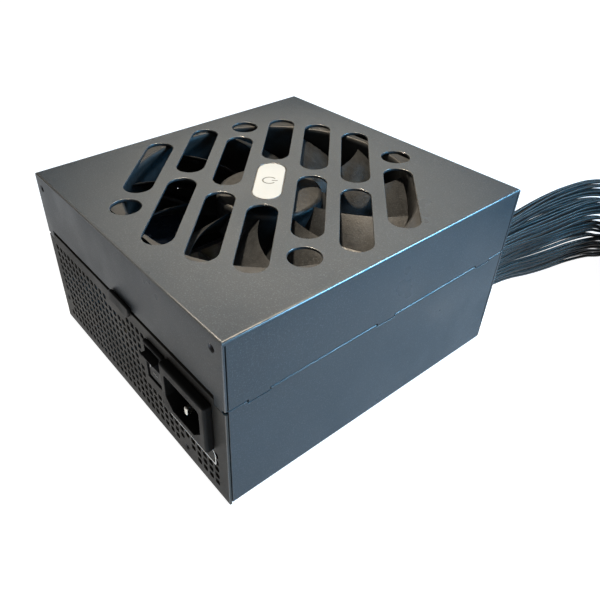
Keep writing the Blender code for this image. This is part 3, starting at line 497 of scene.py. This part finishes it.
def make_materials():
    return {
        "powder_coat": surface("textured_powder_coat", (0.040, 0.044, 0.048), 0.35,
                               grain=(2600, 0.00005), mottle=(14, 0.05), speck=0.55,
                               bend=(0.20, 0.8), Specular_IOR_Level=0.07),
        # A darker, warmer copy of the case's paint: painted shade and painted warm light on the rear
        # face.
        "panel_coat": surface("rear_panel_coat_with_painted_shade", (0.034, 0.032, 0.029), 0.5, grain=(2600, 0.00005),
                              mottle=(18, 0.06), speck=0.35, bend=(0.25, 0.6),
                              Specular_IOR_Level=0.08),
        "badge": surface("ivory_badge", (0.228, 0.240, 0.245), 0.35, mottle=(30, 0.03),
                         grain=(900, 0.00001)),
        "black_plastic": surface("moulded_black_plastic", (0.007, 0.007, 0.007), 0.45,
                                 Specular_IOR_Level=0.06),
        "fan_frame": surface("fan_frame_plastic", (0.012, 0.013, 0.014), 0.5,
                             mottle=(260, 0.3), speck=0.5, Specular_IOR_Level=0.2),
        "rocker_plastic": surface("satin_black_rocker", (0.010, 0.010, 0.0105), 0.36,
                                  grain=(1800, 0.00001), Specular_IOR_Level=0.08),
        "fan_plastic": surface("mottled_fan_plastic", (0.0105, 0.0115, 0.0125), 0.42,
                               mottle=(260, 0.40), speck=1.0, grain=(1300, 0.00012),
                               Specular_IOR_Level=0.2),
        "nylon": surface("black_nylon", (0.014, 0.014, 0.014), 0.46, grain=(1500, 0.00003)),
        "screw_metal": surface("black_zinc", (0.10, 0.10, 0.105), 0.34, 0.9, grain=(2000, 0.00002)),
        # Darker than bare nickel: painted shade for the pins deep in the inlet's socket.
        "pin_metal": surface("nickel_plate_with_painted_shade", (0.40, 0.39, 0.36), 0.32, 1.0, grain=(1200, 0.00001)),
        "steel": surface("ground_steel", (0.62, 0.62, 0.62), 0.28, 1.0, squeeze=(1, 1, 12)),
        "rubber": surface("grommet_rubber", (0.014, 0.014, 0.014), 0.62, grain=(1500, 0.00004)),
        "cable": surface("wire_insulation", (0.014, 0.013, 0.012), 0.36, grain=(900, 0.00010),
                         mottle=(120, 0.35), shine=0.08, Specular_IOR_Level=0.22),
        "board": surface("circuit_laminate", (0.045, 0.13, 0.05), 0.38, mottle=(220, 0.25)),
        "film": surface("insulating_film", (0.03, 0.03, 0.032), 0.3, mottle=(30, 0.08)),
        "brass": surface("turned_brass", (0.62, 0.46, 0.20), 0.28, 1.0, squeeze=(1, 1, 10)),
        "aluminium": surface("mill_aluminium", (0.60, 0.61, 0.63), 0.36, 1.0, squeeze=(1, 1, 14)),
        "sleeve": surface("capacitor_sleeve", (0.02, 0.035, 0.07), 0.3, mottle=(40, 0.15)),
        "ferrite": surface("sintered_ferrite", (0.05, 0.05, 0.052), 0.6, grain=(1400, 0.00008)),
        "tape": surface("winding_tape", (0.60, 0.42, 0.06), 0.34, squeeze=(1, 1, 30),
                        mottle=(60, 0.15)),
        "copper": surface("enamelled_wire", (0.48, 0.17, 0.06), 0.3, 1.0, squeeze=(6, 6, 1),
                          mottle=(300, 0.4)),
        "bronze": surface("sintered_bronze", (0.45, 0.30, 0.13), 0.42, 1.0, grain=(1600, 0.00006)),
        "print": surface("pale_print", (0.55, 0.55, 0.54), 0.5, mottle=(120, 0.06)),
        "mark": surface("white_print", (0.85, 0.85, 0.84), 0.45, mottle=(120, 0.05)),
        "thread": surface("dark_thread", (0.08, 0.08, 0.085), 0.45, 0.8),
        "ink": surface("dark_ink", (0.03, 0.03, 0.03), 0.45, mottle=(120, 0.06)),
    }


def paint(piece, material):
    piece.data.materials.clear()
    piece.data.materials.append(PAINTS[material])
    return piece


def paint_nodes():
    """Every carried-over CAD node gets the finish of its slot."""
    other = {"connector_nylon": "nylon"}
    for entry in frame["record"]["subparts"]:
        node, slot = entry["node"], entry["material_slot"]
        target = frame["nodes"][node]
        finish = PAINTS[other.get(slot, slot)]
        if target.material_slots:
            target.material_slots[0].material = finish
        else:
            target.data.materials.append(finish)


# ---------------------------------------------------------------- case

def slot_place(row, along):
    across = row * ROW_PITCH
    return ((along + across) / sqrt(2), (across - along) / sqrt(2))


def slot_outlines():
    outlines = []
    for sign in (1, -1):
        for row, start, end in SLOT_ROWS:
            middle = slot_place(sign * row, sign * (start + end) / 2)
            outlines.append(stadium(middle, SLOT_LINE, (end - start) / 2, SLOT_RADIUS))
        for row, place in ROUND_HOLES:
            outlines.append(circle(slot_place(sign * row, sign * place), SLOT_RADIUS + 0.0001, 40))
    return outlines


def side_span(side):
    return sorted((side * (WIDTH / 2 - 2 * SHEET), side * (WIDTH / 2 + SHEET)))


def top_cover():
    """The cover with finely rounded slots, softened rims and folded edges."""
    half_w, half_d = WIDTH / 2, DEPTH / 2
    bottom = COVER_LOW[2]
    bm = block((-half_w, -half_d, bottom), (half_w, half_d, HEIGHT))
    rim = [edge for edge in bm.edges if all(v.co.z > HEIGHT - 1e-6 for v in edge.verts)]
    bmesh.ops.bevel(bm, geom=rim, offset=BEND, segments=6, profile=0.5, affect="EDGES")
    cover = add("top_cover_finish", bm)
    cut(cover, block((SHEET - half_w, SHEET - half_d, 0),
                     (half_w - SHEET, half_d - SHEET, HEIGHT - SHEET)))
    slots = bmesh.new()
    for outline in slot_outlines():
        merge(slots, plate(outline, 0.004, level(HEIGHT - 0.003)))
    cut(cover, slots)
    low = bottom - INTO
    edges = [-half_d - PAST]
    for place in TAB_PLACES:
        edges += [place - TAB_WIDTH / 2, place + TAB_WIDTH / 2]
    edges.append(half_d + PAST)
    between = bmesh.new()
    for side in (-1, 1):
        across = side_span(side)
        for start, end in zip(edges[::2], edges[1::2]):
            block((across[0], start, low), (across[1], end, SEAM), into=between)
    cut(cover, between)
    cut(cover, block((-half_w - PAST, half_d - INTO, low), (half_w + PAST, half_d + PAST, SEAM)))
    cut(cover, block((-PANEL_SHOULDER, REAR - PAST, low), (PANEL_SHOULDER, REAR + INTO, REAR_SEAM)))
    slits = bmesh.new()
    for side in (-1, 1):
        across = side_span(side)
        for end in (-1, 1):
            face = end * (half_d - SHEET)
            along = sorted((face, face - end * CORNER_SLIT))
            block((across[0], along[0], low), (across[1], along[1], HEIGHT - SLIT_BELOW_TOP), into=slits)
    cut(cover, slits)
    holes = bmesh.new()
    for place in CASE_HOLES:
        if place[1] > SEAM:
            merge(holes, plate(circle(place, CASE_HOLE_RADIUS, 24), 0.003, upright(REAR - PAST)))
    cut(cover, holes)
    (left, foot), (right, head) = CABLE_OPENING
    cut(cover, block((left, half_d - INTO, foot), (right, half_d + PAST, head)))
    for number in range(1, 5):
        lower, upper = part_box(f"cover_screw_{number}")
        middle = (lower + upper) / 2
        in_left_face = middle.x < -WIDTH / 2 + 0.01 and abs(middle.y) < 0.06
        out = Vector((-1, 0, 0)) if in_left_face else Vector((0, 1, 0))
        hole = bmesh.new()
        spin = out.to_track_quat("Z", "Y").to_matrix().to_4x4()
        bmesh.ops.create_cone(hole, cap_ends=True, segments=20, radius1=SCREW_HOLE_RADIUS,
                              radius2=SCREW_HOLE_RADIUS, depth=0.012,
                              matrix=Matrix.Translation(middle) @ spin)
        cut(cover, hole)
    room, sunk = BADGE_RECESS
    cut(cover, plate(stadium((0, 0), SLOT_LINE, BADGE_HALF, BADGE_RADIUS + room), 0.002,
                     level(HEIGHT - sunk)))

    def slot_rim(edge):
        inner = all(v.co.z > HEIGHT - 1e-5 and abs(v.co.x) < half_w - 0.004 for v in edge.verts)
        return inner and all(abs(v.co.y) < half_d - 0.004 for v in edge.verts)

    def upright_edge(edge):
        return all(abs(v.co.x) > half_w - 1e-4 and v.co.y < 1e-4 - half_d for v in edge.verts)

    soften(cover, 0.00028, slot_rim)
    soften(cover, 0.00050, upright_edge, segments=3)
    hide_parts("top_cover")
    return paint(cover, "powder_coat")


def in_vent(x, z):
    """True where the rear panel is perforated."""
    stretches = next(stretches for above, stretches in VENT_BANDS if z > above)
    return any(start < x < end for start, end in stretches)


def rear_panel():
    """The perforated panel, with round-cornered holes."""
    half = WIDTH / 2
    shoulder = PANEL_SHOULDER - 0.0003
    low_edge = TRAY_WALL - 0.001
    outline = [(-half, 0), (half, 0), (half, low_edge), (shoulder, low_edge),
               (shoulder, PANEL_HIGH[2]), (-shoulder, PANEL_HIGH[2]), (-shoulder, low_edge),
               (-half, low_edge)]
    holes = []
    for row in range(VENT_ROWS):
        z = VENT_FIRST_ROW + row * VENT_PITCH[1]
        for column in range(-VENT_COLUMNS_ASIDE, VENT_COLUMNS_ASIDE + 1):
            x = column * VENT_PITCH[0]
            clear = all((x - a) ** 2 + (z - b) ** 2 > CASE_HOLE_CLEAR ** 2 for a, b in CASE_HOLES)
            if clear and in_vent(x, z):
                holes.append(soft_rectangle((x, z), (VENT_SIDE, VENT_SIDE), VENT_CORNER, 2))
    holes += [circle(place, CASE_HOLE_RADIUS, 24) for place in CASE_HOLES if place[1] < SEAM]
    holes.append(soft_rectangle(INLET, INLET_CUTOUT, CUTOUT_CORNER, 1))
    holes.append(soft_rectangle(SWITCH, SWITCH_CUTOUT, CUTOUT_CORNER, 1))
    panel = add("rear_panel_finish", plate(outline, SHEET, upright(REAR), holes))
    soften(panel, 0.00045, lambda edge: all(abs(v.co.x) > half - 1e-4 and v.co.y < REAR + 1e-4
                                            for v in edge.verts), segments=3)
    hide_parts("rear_panel")
    # The rear panel takes the darker, warmer copy of the paint: painted shade and painted warm light on
    # the rear face.
    return paint(panel, "panel_coat")


def screw_threads():
    """Rolled threads that line the case's mounting holes."""
    for number, (x, z) in enumerate(CASE_HOLES, 1):
        profile = []
        for k in range(THREAD_TURNS * 2 + 1):
            radius = CASE_HOLE_RADIUS - THREAD_DEPTHS[k % 2]
            profile.append((radius, 0.0001 + THREAD_LENGTH * k / (THREAD_TURNS * 2)))
        profile += [(CASE_HOLE_RADIUS + 0.0004, 0.0022), (CASE_HOLE_RADIUS + 0.0004, 0.00112),
                    (CASE_HOLE_RADIUS - 0.00002, 0.00108)]
        bm = turned(profile, steps=24)
        place = Matrix.Translation((x, REAR, z)) @ Matrix.Rotation(-pi / 2, 4, "X")
        bmesh.ops.transform(bm, matrix=place, verts=bm.verts)
        thread = paint(add(f"case_hole_thread_{number}", bm, smooth=60), "thread")


def flat_line(name, points, width, material, lift=0.00006):
    """A printed line on the rear panel, as a very thin strip."""
    bm = bmesh.new()
    rows = []
    for k, point in enumerate(points):
        before = Vector(points[max(k - 1, 0)])
        after = Vector(points[min(k + 1, len(points) - 1)])
        run = (after - before).normalized()
        side = Vector((-run.y, run.x)) * width / 2
        spots = [Vector(point) + side, Vector(point) - side]
        rows.append([bm.verts.new((spot.x, REAR - depth, spot.y)) for depth in (0.00001, lift)
                     for spot in spots])
    for here, there in zip(rows, rows[1:]):
        for a, b in ((0, 1), (1, 3), (3, 2), (2, 0)):
            bm.faces.new((here[a], here[b], there[b], there[a]))
    bm.faces.new((rows[0][0], rows[0][1], rows[0][3], rows[0][2]))
    bm.faces.new((rows[-1][0], rows[-1][1], rows[-1][3], rows[-1][2]))
    made = paint(add(name, bm), material)
    return made


def printed_border():
    """The pale frame printed under the inlet."""
    points = [(0.0340, 0.0172), (0.0450, 0.0172), (0.0560, 0.0172), (0.0666, 0.0172), (0.0667, 0.0180)]
    points.append((BORDER_RIGHT, BORDER_SHOULDER))
    for step in range(1, 7):
        angle = pi / 2 * step / 6
        points.append((BORDER_RIGHT - BORDER_CORNER + BORDER_CORNER * cos(angle),
                       BORDER_SHOULDER + BORDER_CORNER * sin(angle)))
    points.append((0.0600, 0.0250))
    flat_line("label_border", points, 0.0007, "print")


def badge():
    """The badge on its seat, with a power sign."""
    paint(refined("badge", 0.00012), "badge")
    inner, outer = BADGE_SEAT
    rim = plate(stadium((0, 0), SLOT_LINE, BADGE_HALF, BADGE_RADIUS + outer), 0.00035,
                level(HEIGHT - 0.00058),
                [stadium((0, 0), SLOT_LINE, BADGE_HALF, BADGE_RADIUS + inner)])
    ring = paint(add("badge_seat", rim), "rubber")
    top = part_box("badge")[1][2]
    bm = bmesh.new()
    gap = SIGN_HALF_GAP
    arc = [pi / 4 + gap + (2 * pi - 2 * gap) * k / 40 for k in range(41)]
    line = [(SIGN_RADIUS * cos(a), SIGN_RADIUS * sin(a)) for a in arc]
    sides = [(1.0 + SIGN_HALF_LINE, line), (1.0 - SIGN_HALF_LINE, line[::-1])]
    outline = [(x * scale, y * scale) for scale, points in sides for x, y in points]
    merge(bm, plate(outline, INK_THICKNESS, level(top - INK_SUNK)))
    direction = (cos(pi / 4), sin(pi / 4))
    away, half, radius = SIGN_BAR
    bar = stadium((direction[0] * away, direction[1] * away), direction, half, radius, 6)
    merge(bm, plate(bar, INK_THICKNESS, level(top - INK_SUNK)))
    sign = paint(add("badge_power_sign", bm), "ink")


def small_case_pieces():
    tray = refined("base_tray", 0.0006, pick=lambda edge: all(
        v.co.z > TRAY_WALL - 1e-4 and abs(v.co.x) > WIDTH / 2 - 1e-4 for v in edge.verts))
    paint(soften(tray, 0.00012, angle=40), "powder_coat")
    paint(refined("seam_catch", 0.0006), "black_plastic")
    paint(refined("cable_grommet", 0.0004), "rubber")
    for number in range(1, 5):
        paint(refined(f"cover_screw_{number}", 0.00015), "screw_metal")


# ---------------------------------------------------------------- inlet and switch

def inlet_and_switch():
    paint(refined("inlet_body", 0.0003), "black_plastic")
    paint(refined("switch_body", 0.0003), "black_plastic")
    paint(refined("switch_rocker", 0.0004, body="rocker"), "rocker_plastic")
    # The pins take the darkened nickel: painted shade inside the inlet's socket.
    for pin in ("earth_pin", "live_pin", "neutral_pin"):
        paint(refined(pin, 0.0002), "pin_metal")
    rocker_mark("rocker_off_mark", -1, circle((0, 0), 0.0015, 32), [circle((0, 0), 0.0011, 32)])
    rocker_mark("rocker_on_mark", 1, stadium((0, 0), (0, 1), 0.0012, 0.0002, 6))


def rocker_mark(name, side, outline, holes=()):
    """A printed mark on the upper (1) or lower (-1) half of the rocker's face."""
    out, up = MARK_PLACE
    pivot = Matrix.Translation((SWITCH[0], SWITCH_PIVOT_Y, SWITCH[1]))
    face = Matrix.Translation((0, out, side * up)) @ Matrix.Rotation(-side * ROCKER_SLOPE, 4, "X")
    place = pivot @ Matrix.Rotation(radians(ROCKER_TILT), 4, "X") @ face
    print_on = plate(outline, MARK_THICKNESS, place @ upright(-MARK_THICKNESS), holes)
    paint(add(name, print_on, body="rocker"), "mark")


# ---------------------------------------------------------------- fan

def fan_frame():
    """The fan's housing, with a flared mouth."""
    bottom, top = FRAME_LOW[2], FRAME_HIGH[2]
    side = FRAME_HIGH[0] - FRAME_LOW[0]
    reach = side / 2 - SCREW_INSET
    corners = [circle((a * reach, b * reach), SCREW_BORE, 20) for a in (-1, 1) for b in (-1, 1)]
    square = soft_rectangle((0, 0), (side, side), FRAME_CORNER, 8)
    bm = bmesh.new()
    mouth = circle((0, 0), FAN_BORE + MOUTH, 128)
    merge(bm, plate(square, FRAME_FLANGE, level(top - FRAME_FLANGE), [mouth, *corners]))
    merge(bm, plate(square, FRAME_FLANGE, level(bottom), [mouth, *corners]))
    profile = [(FAN_BORE + MOUTH, bottom + 0.0001), (FAN_BORE + SHROUD, bottom + FRAME_FLANGE),
               (FAN_BORE + SHROUD, top - FRAME_FLANGE), (FAN_BORE + MOUTH, top - 0.0001)]
    for step in range(6):
        angle = pi / 2 * step / 5
        profile.append((FAN_BORE + 0.0015 * (1 - sin(angle)),
                        top - 0.0001 - 0.0030 * (1 - cos(angle))))
    profile.append((FAN_BORE, bottom + 0.0001))
    merge(bm, turned(profile, steps=128))
    hub = [(0.0, bottom + 0.0004), (0.0215, bottom + 0.0004), (0.022, bottom + 0.0009),
           (0.022, bottom + 0.0026), (0.0, bottom + 0.0026)]
    merge(bm, turned(hub, steps=64))
    for turn in SPOKE_TURNS:
        spoke = Matrix.Rotation(radians(turn), 4, "Z")
        block((0.0210, -0.0020, bottom + 0.0003), (0.0652, 0.0020, bottom + 0.0023),
              into=bm, turn=spoke)
    housing = add("fan_frame_finish", bm, smooth=40)
    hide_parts("fan_frame")
    return paint(housing, "fan_frame")


def blade_point(radius, share, lower):
    """A point of a blade, at a radius and at a share of the way from its upper to its lower edge."""
    outward = (radius - BLADE_ROOT) / BLADE_SPAN
    at_root, added, power = BLADE_SWEEP
    sweep = at_root + added * max(outward, 0.0) ** power
    angle = radians(BLADE_PHASE + sweep - BLADE_ARC * share)
    top = HUB_TOP - BLADE_TOP_RISE + BLADE_TOP_RISE * outward
    height = top - BLADE_FALL * (0.72 * share + 0.28 * share ** 2)
    thick = BLADE_THIN + BLADE_SWELL * sin(pi * min(share * 1.05 + 0.02, 1.0)) ** 0.6
    return Vector((radius * cos(angle), radius * sin(angle), height - (thick if lower else 0.0)))


def fan_rotor():
    """Hub and thin curved blades."""
    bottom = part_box("fan_rotor")[0][2] + 0.0010
    profile = [(0.0, HUB_TOP), (HUB_RADIUS - HUB_ROUND, HUB_TOP)]
    for step in range(1, 7):
        angle = pi / 2 * step / 6
        profile.append((HUB_RADIUS - HUB_ROUND + HUB_ROUND * sin(angle),
                        HUB_TOP - HUB_ROUND * (1 - cos(angle))))
    profile += [(HUB_RADIUS, bottom), (HUB_RADIUS - HUB_WALL, bottom),
                (HUB_RADIUS - HUB_WALL, HUB_TOP - HUB_WALL), (0.0, HUB_TOP - HUB_WALL)]
    bm = turned(profile, steps=96)
    rows, columns = 14, 12
    radii = [HUB_RADIUS - 0.0008 + (BLADE_TIP - HUB_RADIUS + 0.0008) * k / rows
             for k in range(rows + 1)]
    for blade in range(BLADES):
        spin = Matrix.Rotation(2 * pi * blade / BLADES, 3, "Z")
        upper, under = [[[bm.verts.new(spin @ blade_point(r, s / columns, lower))
                          for s in range(columns + 1)]
                         for r in radii] for lower in (False, True)]
        for i in range(rows):
            for j in range(columns):
                bm.faces.new((upper[i][j], upper[i + 1][j], upper[i + 1][j + 1], upper[i][j + 1]))
                bm.faces.new((under[i][j], under[i][j + 1], under[i + 1][j + 1], under[i + 1][j]))
        rim = [(i, 0) for i in range(rows)] + [(rows, j) for j in range(columns)]
        rim += [(i, columns) for i in range(rows, 0, -1)] + [(0, j) for j in range(columns, 0, -1)]
        for (a, b), (c, d) in zip(rim, rim[1:] + rim[:1]):
            bm.faces.new((upper[a][b], under[a][b], under[c][d], upper[c][d]))
    rotor = add("fan_rotor_finish", bm, smooth=50, body="fan_rotor_group")
    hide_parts("fan_rotor")
    return paint(rotor, "fan_plastic")


# ---------------------------------------------------------------- cables

def smooth_curve(points, count):
    """Evenly shared points on one smooth curve through the given points."""
    knots = [Vector(point) for point in points]
    ends = [2 * knots[0] - knots[1], *knots, 2 * knots[-1] - knots[-2]]
    spans = len(knots) - 1
    made = []
    for k in range(count):
        place = spans * k / (count - 1)
        start = min(int(place), spans - 1)
        t = place - start
        a, b, c, d = ends[start:start + 4]
        made.append(0.5 * (2 * b + (c - a) * t + (2 * a - 5 * b + 4 * c - d) * t * t
                           + (3 * b - a - 3 * c + d) * t ** 3))
    return made


def cable_path(name, height):
    """Out of the grommet, down towards the floor, once round the coil and into the plug."""
    heights = ROUTE_Z[name]
    route = [(x, y, z) for (x, y), z in zip(ROUTE_XY, heights)]
    x, y = COIL_CENTRE
    route.append((x - COIL_RADIUS - 0.0010, y - 0.0125, height + (heights[-1] - height) * 0.35))
    route.append((x - COIL_RADIUS, y, height))
    points = [Vector((point.x, point.y, max(point.z, height)))
              for point in smooth_curve(route, ROUTE_POINTS)]
    for k in range(1, TURN_POINTS + 1):
        angle = pi - 2 * pi * k / TURN_POINTS
        radius = COIL_RADIUS - COIL_STEP * k / TURN_POINTS
        points.append(Vector((x + radius * cos(angle), y + radius * sin(angle), height)))
    middle = points[-1] + Vector((TAIL_RADIUS, 0, 0))
    for k in range(1, TAIL_POINTS + 1):
        angle = pi - pi * k / TAIL_POINTS
        points.append(middle + TAIL_RADIUS * Vector((cos(angle), sin(angle), 0)))
    points.append(points[-1] + Vector((0, -TAIL_STRAIGHT, 0)))
    return points


def ease(value):
    value = min(max(value, 0.0), 1.0)
    return value * value * (3 - 2 * value)


def ribbon(name, points, phase, aside):
    """Separate round wires that lie side by side along a path and fan out behind the case."""
    bm = bmesh.new()
    total = len(points) - 1
    for column in range(WIRE_COLUMNS):
        for row in range(WIRE_ROWS):
            rings = []
            for k, point in enumerate(points):
                run = (points[min(k + 1, total)] - points[max(k - 1, 0)]).normalized()
                up = (Vector((0, 0, 1)) - run * run.z).normalized()
                side = run.cross(up)
                wave = sin(k * 0.11 + row * 1.9 + column * 2.6 + phase)
                loose = min(k / 12, 1.0) * min((total - k) / 12, 1.0)
                fan = ease(k / FAN_OUT[0]) * ease((FAN_OUT[1] - k) / FAN_OUT[0])
                pitch = 2 * WIRE_RADIUS * (WIRE_GAP + 0.50 * fan)
                lift = (row - (WIRE_ROWS - 1) / 2) * pitch
                lift += 0.00030 * sin(k * 0.07 + row * 2.3 + column * 1.1 + phase) * fan
                shift = (column - (WIRE_COLUMNS - 1) / 2) * 2 * WIRE_RADIUS * WIRE_GAP
                shift += 0.00035 * wave * loose + aside * fan
                centre = point + up * lift + side * shift
                centre.z = max(centre.z, WIRE_RADIUS + FLOOR_GAP)
                rings.append([bm.verts.new(centre + WIRE_RADIUS * (up * cos(turn) + side * sin(turn)))
                              for turn in (2 * pi * s / WIRE_SIDES for s in range(WIRE_SIDES))])
            for here, there in zip(rings, rings[1:]):
                for s in range(WIRE_SIDES):
                    bm.faces.new((here[s - 1], here[s], there[s], there[s - 1]))
            bm.faces.new(rings[0])
            bm.faces.new(rings[-1])
    return add(name, bm, smooth=60)


def plug(node, cells):
    """A connector housing with square and round-cornered cells in its mating face."""
    low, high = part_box(node)
    width, length, thick = high[0] - low[0], high[1] - low[1], high[2] - low[2]
    middle = (low + high) / 2
    columns, rows = cells
    pitch = (width - 0.0012) / columns
    rise = (thick - 0.0010) / rows
    holes = []
    for i in range(columns):
        for j in range(rows):
            spot = (middle.x + (i - (columns - 1) / 2) * pitch, middle.z + (j - (rows - 1) / 2) * rise)
            cell = min(pitch, rise) * PLUG_FACE_SHARE
            corner = cell * (0.42 if (i + j) % 3 == 0 else 0.12)
            holes.append(soft_rectangle(spot, (cell, cell), corner, 3))
    spot = (middle.x, middle.z)
    front = length * PLUG_FACE_SHARE
    bm = plate(soft_rectangle(spot, (width, thick), PLUG_CORNER, 3), front, upright(low[1]), holes)
    back = soft_rectangle(spot, (width - 0.0004, thick - 0.0004), PLUG_CORNER, 3)
    merge(bm, plate(back, length * 0.28 - 0.00002, upright(low[1] + front + 0.00001)))
    made = add(f"{node}_finish", bm, smooth=40)
    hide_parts(node)
    return paint(made, "nylon")


def coil_tie():
    """The strap and its buckle that hold the four coils together."""
    x, y = COIL_CENTRE[0] + COIL_RADIUS - COIL_STEP / 2, COIL_CENTRE[1]
    z = (COIL_HEIGHTS[0] + COIL_HEIGHTS[-1]) / 2
    tall = COIL_HEIGHTS[-1] - COIL_HEIGHTS[0] + 2 * TIE_MARGIN
    inner = soft_rectangle((x, z), (TIE_ROOM, tall), TIE_CORNER, 6)
    outer = soft_rectangle((x, z), (TIE_ROOM + 2 * TIE_SHEET, tall + 2 * TIE_SHEET),
                           TIE_CORNER + TIE_SHEET, 6)
    bm = plate(outer, TIE_WIDTH, upright(y - TIE_WIDTH / 2), [inner])
    face = x + TIE_ROOM / 2 + TIE_SHEET
    half_y, half_z = BUCKLE_HALF
    merge(bm, block((face - BUCKLE_SUNK, y - half_y, z - half_z),
                    (face + BUCKLE_OUT, y + half_y, z + half_z)))
    tie = paint(soften(add("coil_tie", bm), 0.00015), "nylon")
    return tie


def cables():
    """The four cords with their plugs, and the strap that goes with the last."""
    tie = coil_tie()
    for number, name in enumerate(ROUTE_Z):
        points = cable_path(name, COIL_HEIGHTS[number])
        wires = paint(ribbon(f"{name}_wires", points, 0.9 * number, ASIDE[number]), "cable")
        end = plug(f"{name}_plug", PLUG_CELLS[name])
        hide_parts(f"{name}_cable", f"{name}_coil", f"{name}_tail")


# ---------------------------------------------------------------- studio

def hang(data, place, target):
    """Hangs a lamp at a place, aimed at a target."""
    made = bpy.data.objects.new(data.name, data)
    bpy.context.scene.collection.objects.link(made)
    made.location = place
    made.rotation_mode = "QUATERNION"
    made.rotation_quaternion = (Vector(target) - Vector(place)).to_track_quat("-Z", "Y")


def studio():
    """A pale glowing floor, three soft lamps, a narrow warm one and a weak world."""
    bm = bmesh.new()
    bmesh.ops.create_grid(bm, x_segments=2, y_segments=2, size=FLOOR_SIZE,
                          matrix=Matrix.Translation((0, 0, -FLOOR_DROP)))
    floor = add("floor", bm, body=None)
    finish = surface("floor_paint", (0.42, 0.44, 0.46), 0.9, mottle=(3, 0.01), grain=(200, 0.00001),
                     Specular_IOR_Level=0.1, Emission_Color=(1.0, 1.0, 1.0, 1.0), Emission_Strength=0.95)
    floor.data.materials.append(finish)
    for name, place, target, size, power, colour in AREA_LIGHTS:
        lamp = bpy.data.lights.new(name, "AREA")
        lamp.shape = "RECTANGLE"
        lamp.size, lamp.size_y = size
        lamp.energy, lamp.color = power, colour
        hang(lamp, place, target)
    spot = bpy.data.lights.new("top_light", "SPOT")
    spot.energy, spot.color = SPOT_POWER, SPOT_COLOUR
    spot.spot_size, spot.spot_blend, spot.shadow_soft_size = radians(SPOT_ANGLE), SPOT_BLEND, SPOT_RADIUS
    hang(spot, SPOT_PLACE, SPOT_TARGET)
    world = bpy.data.worlds.new("studio")
    bpy.context.scene.world = world
    world.use_nodes = True
    ground = world.node_tree.nodes["Background"]
    ground.inputs["Color"].default_value = WORLD_COLOUR
    ground.inputs["Strength"].default_value = WORLD_STRENGTH
    bpy.context.scene.view_settings.view_transform = "Standard"


camera()
PAINTS = make_materials()
paint_nodes()
cables()
top_cover()
rear_panel()
screw_threads()
printed_border()
badge()
small_case_pieces()
inlet_and_switch()
fan_frame()
fan_rotor()
studio()
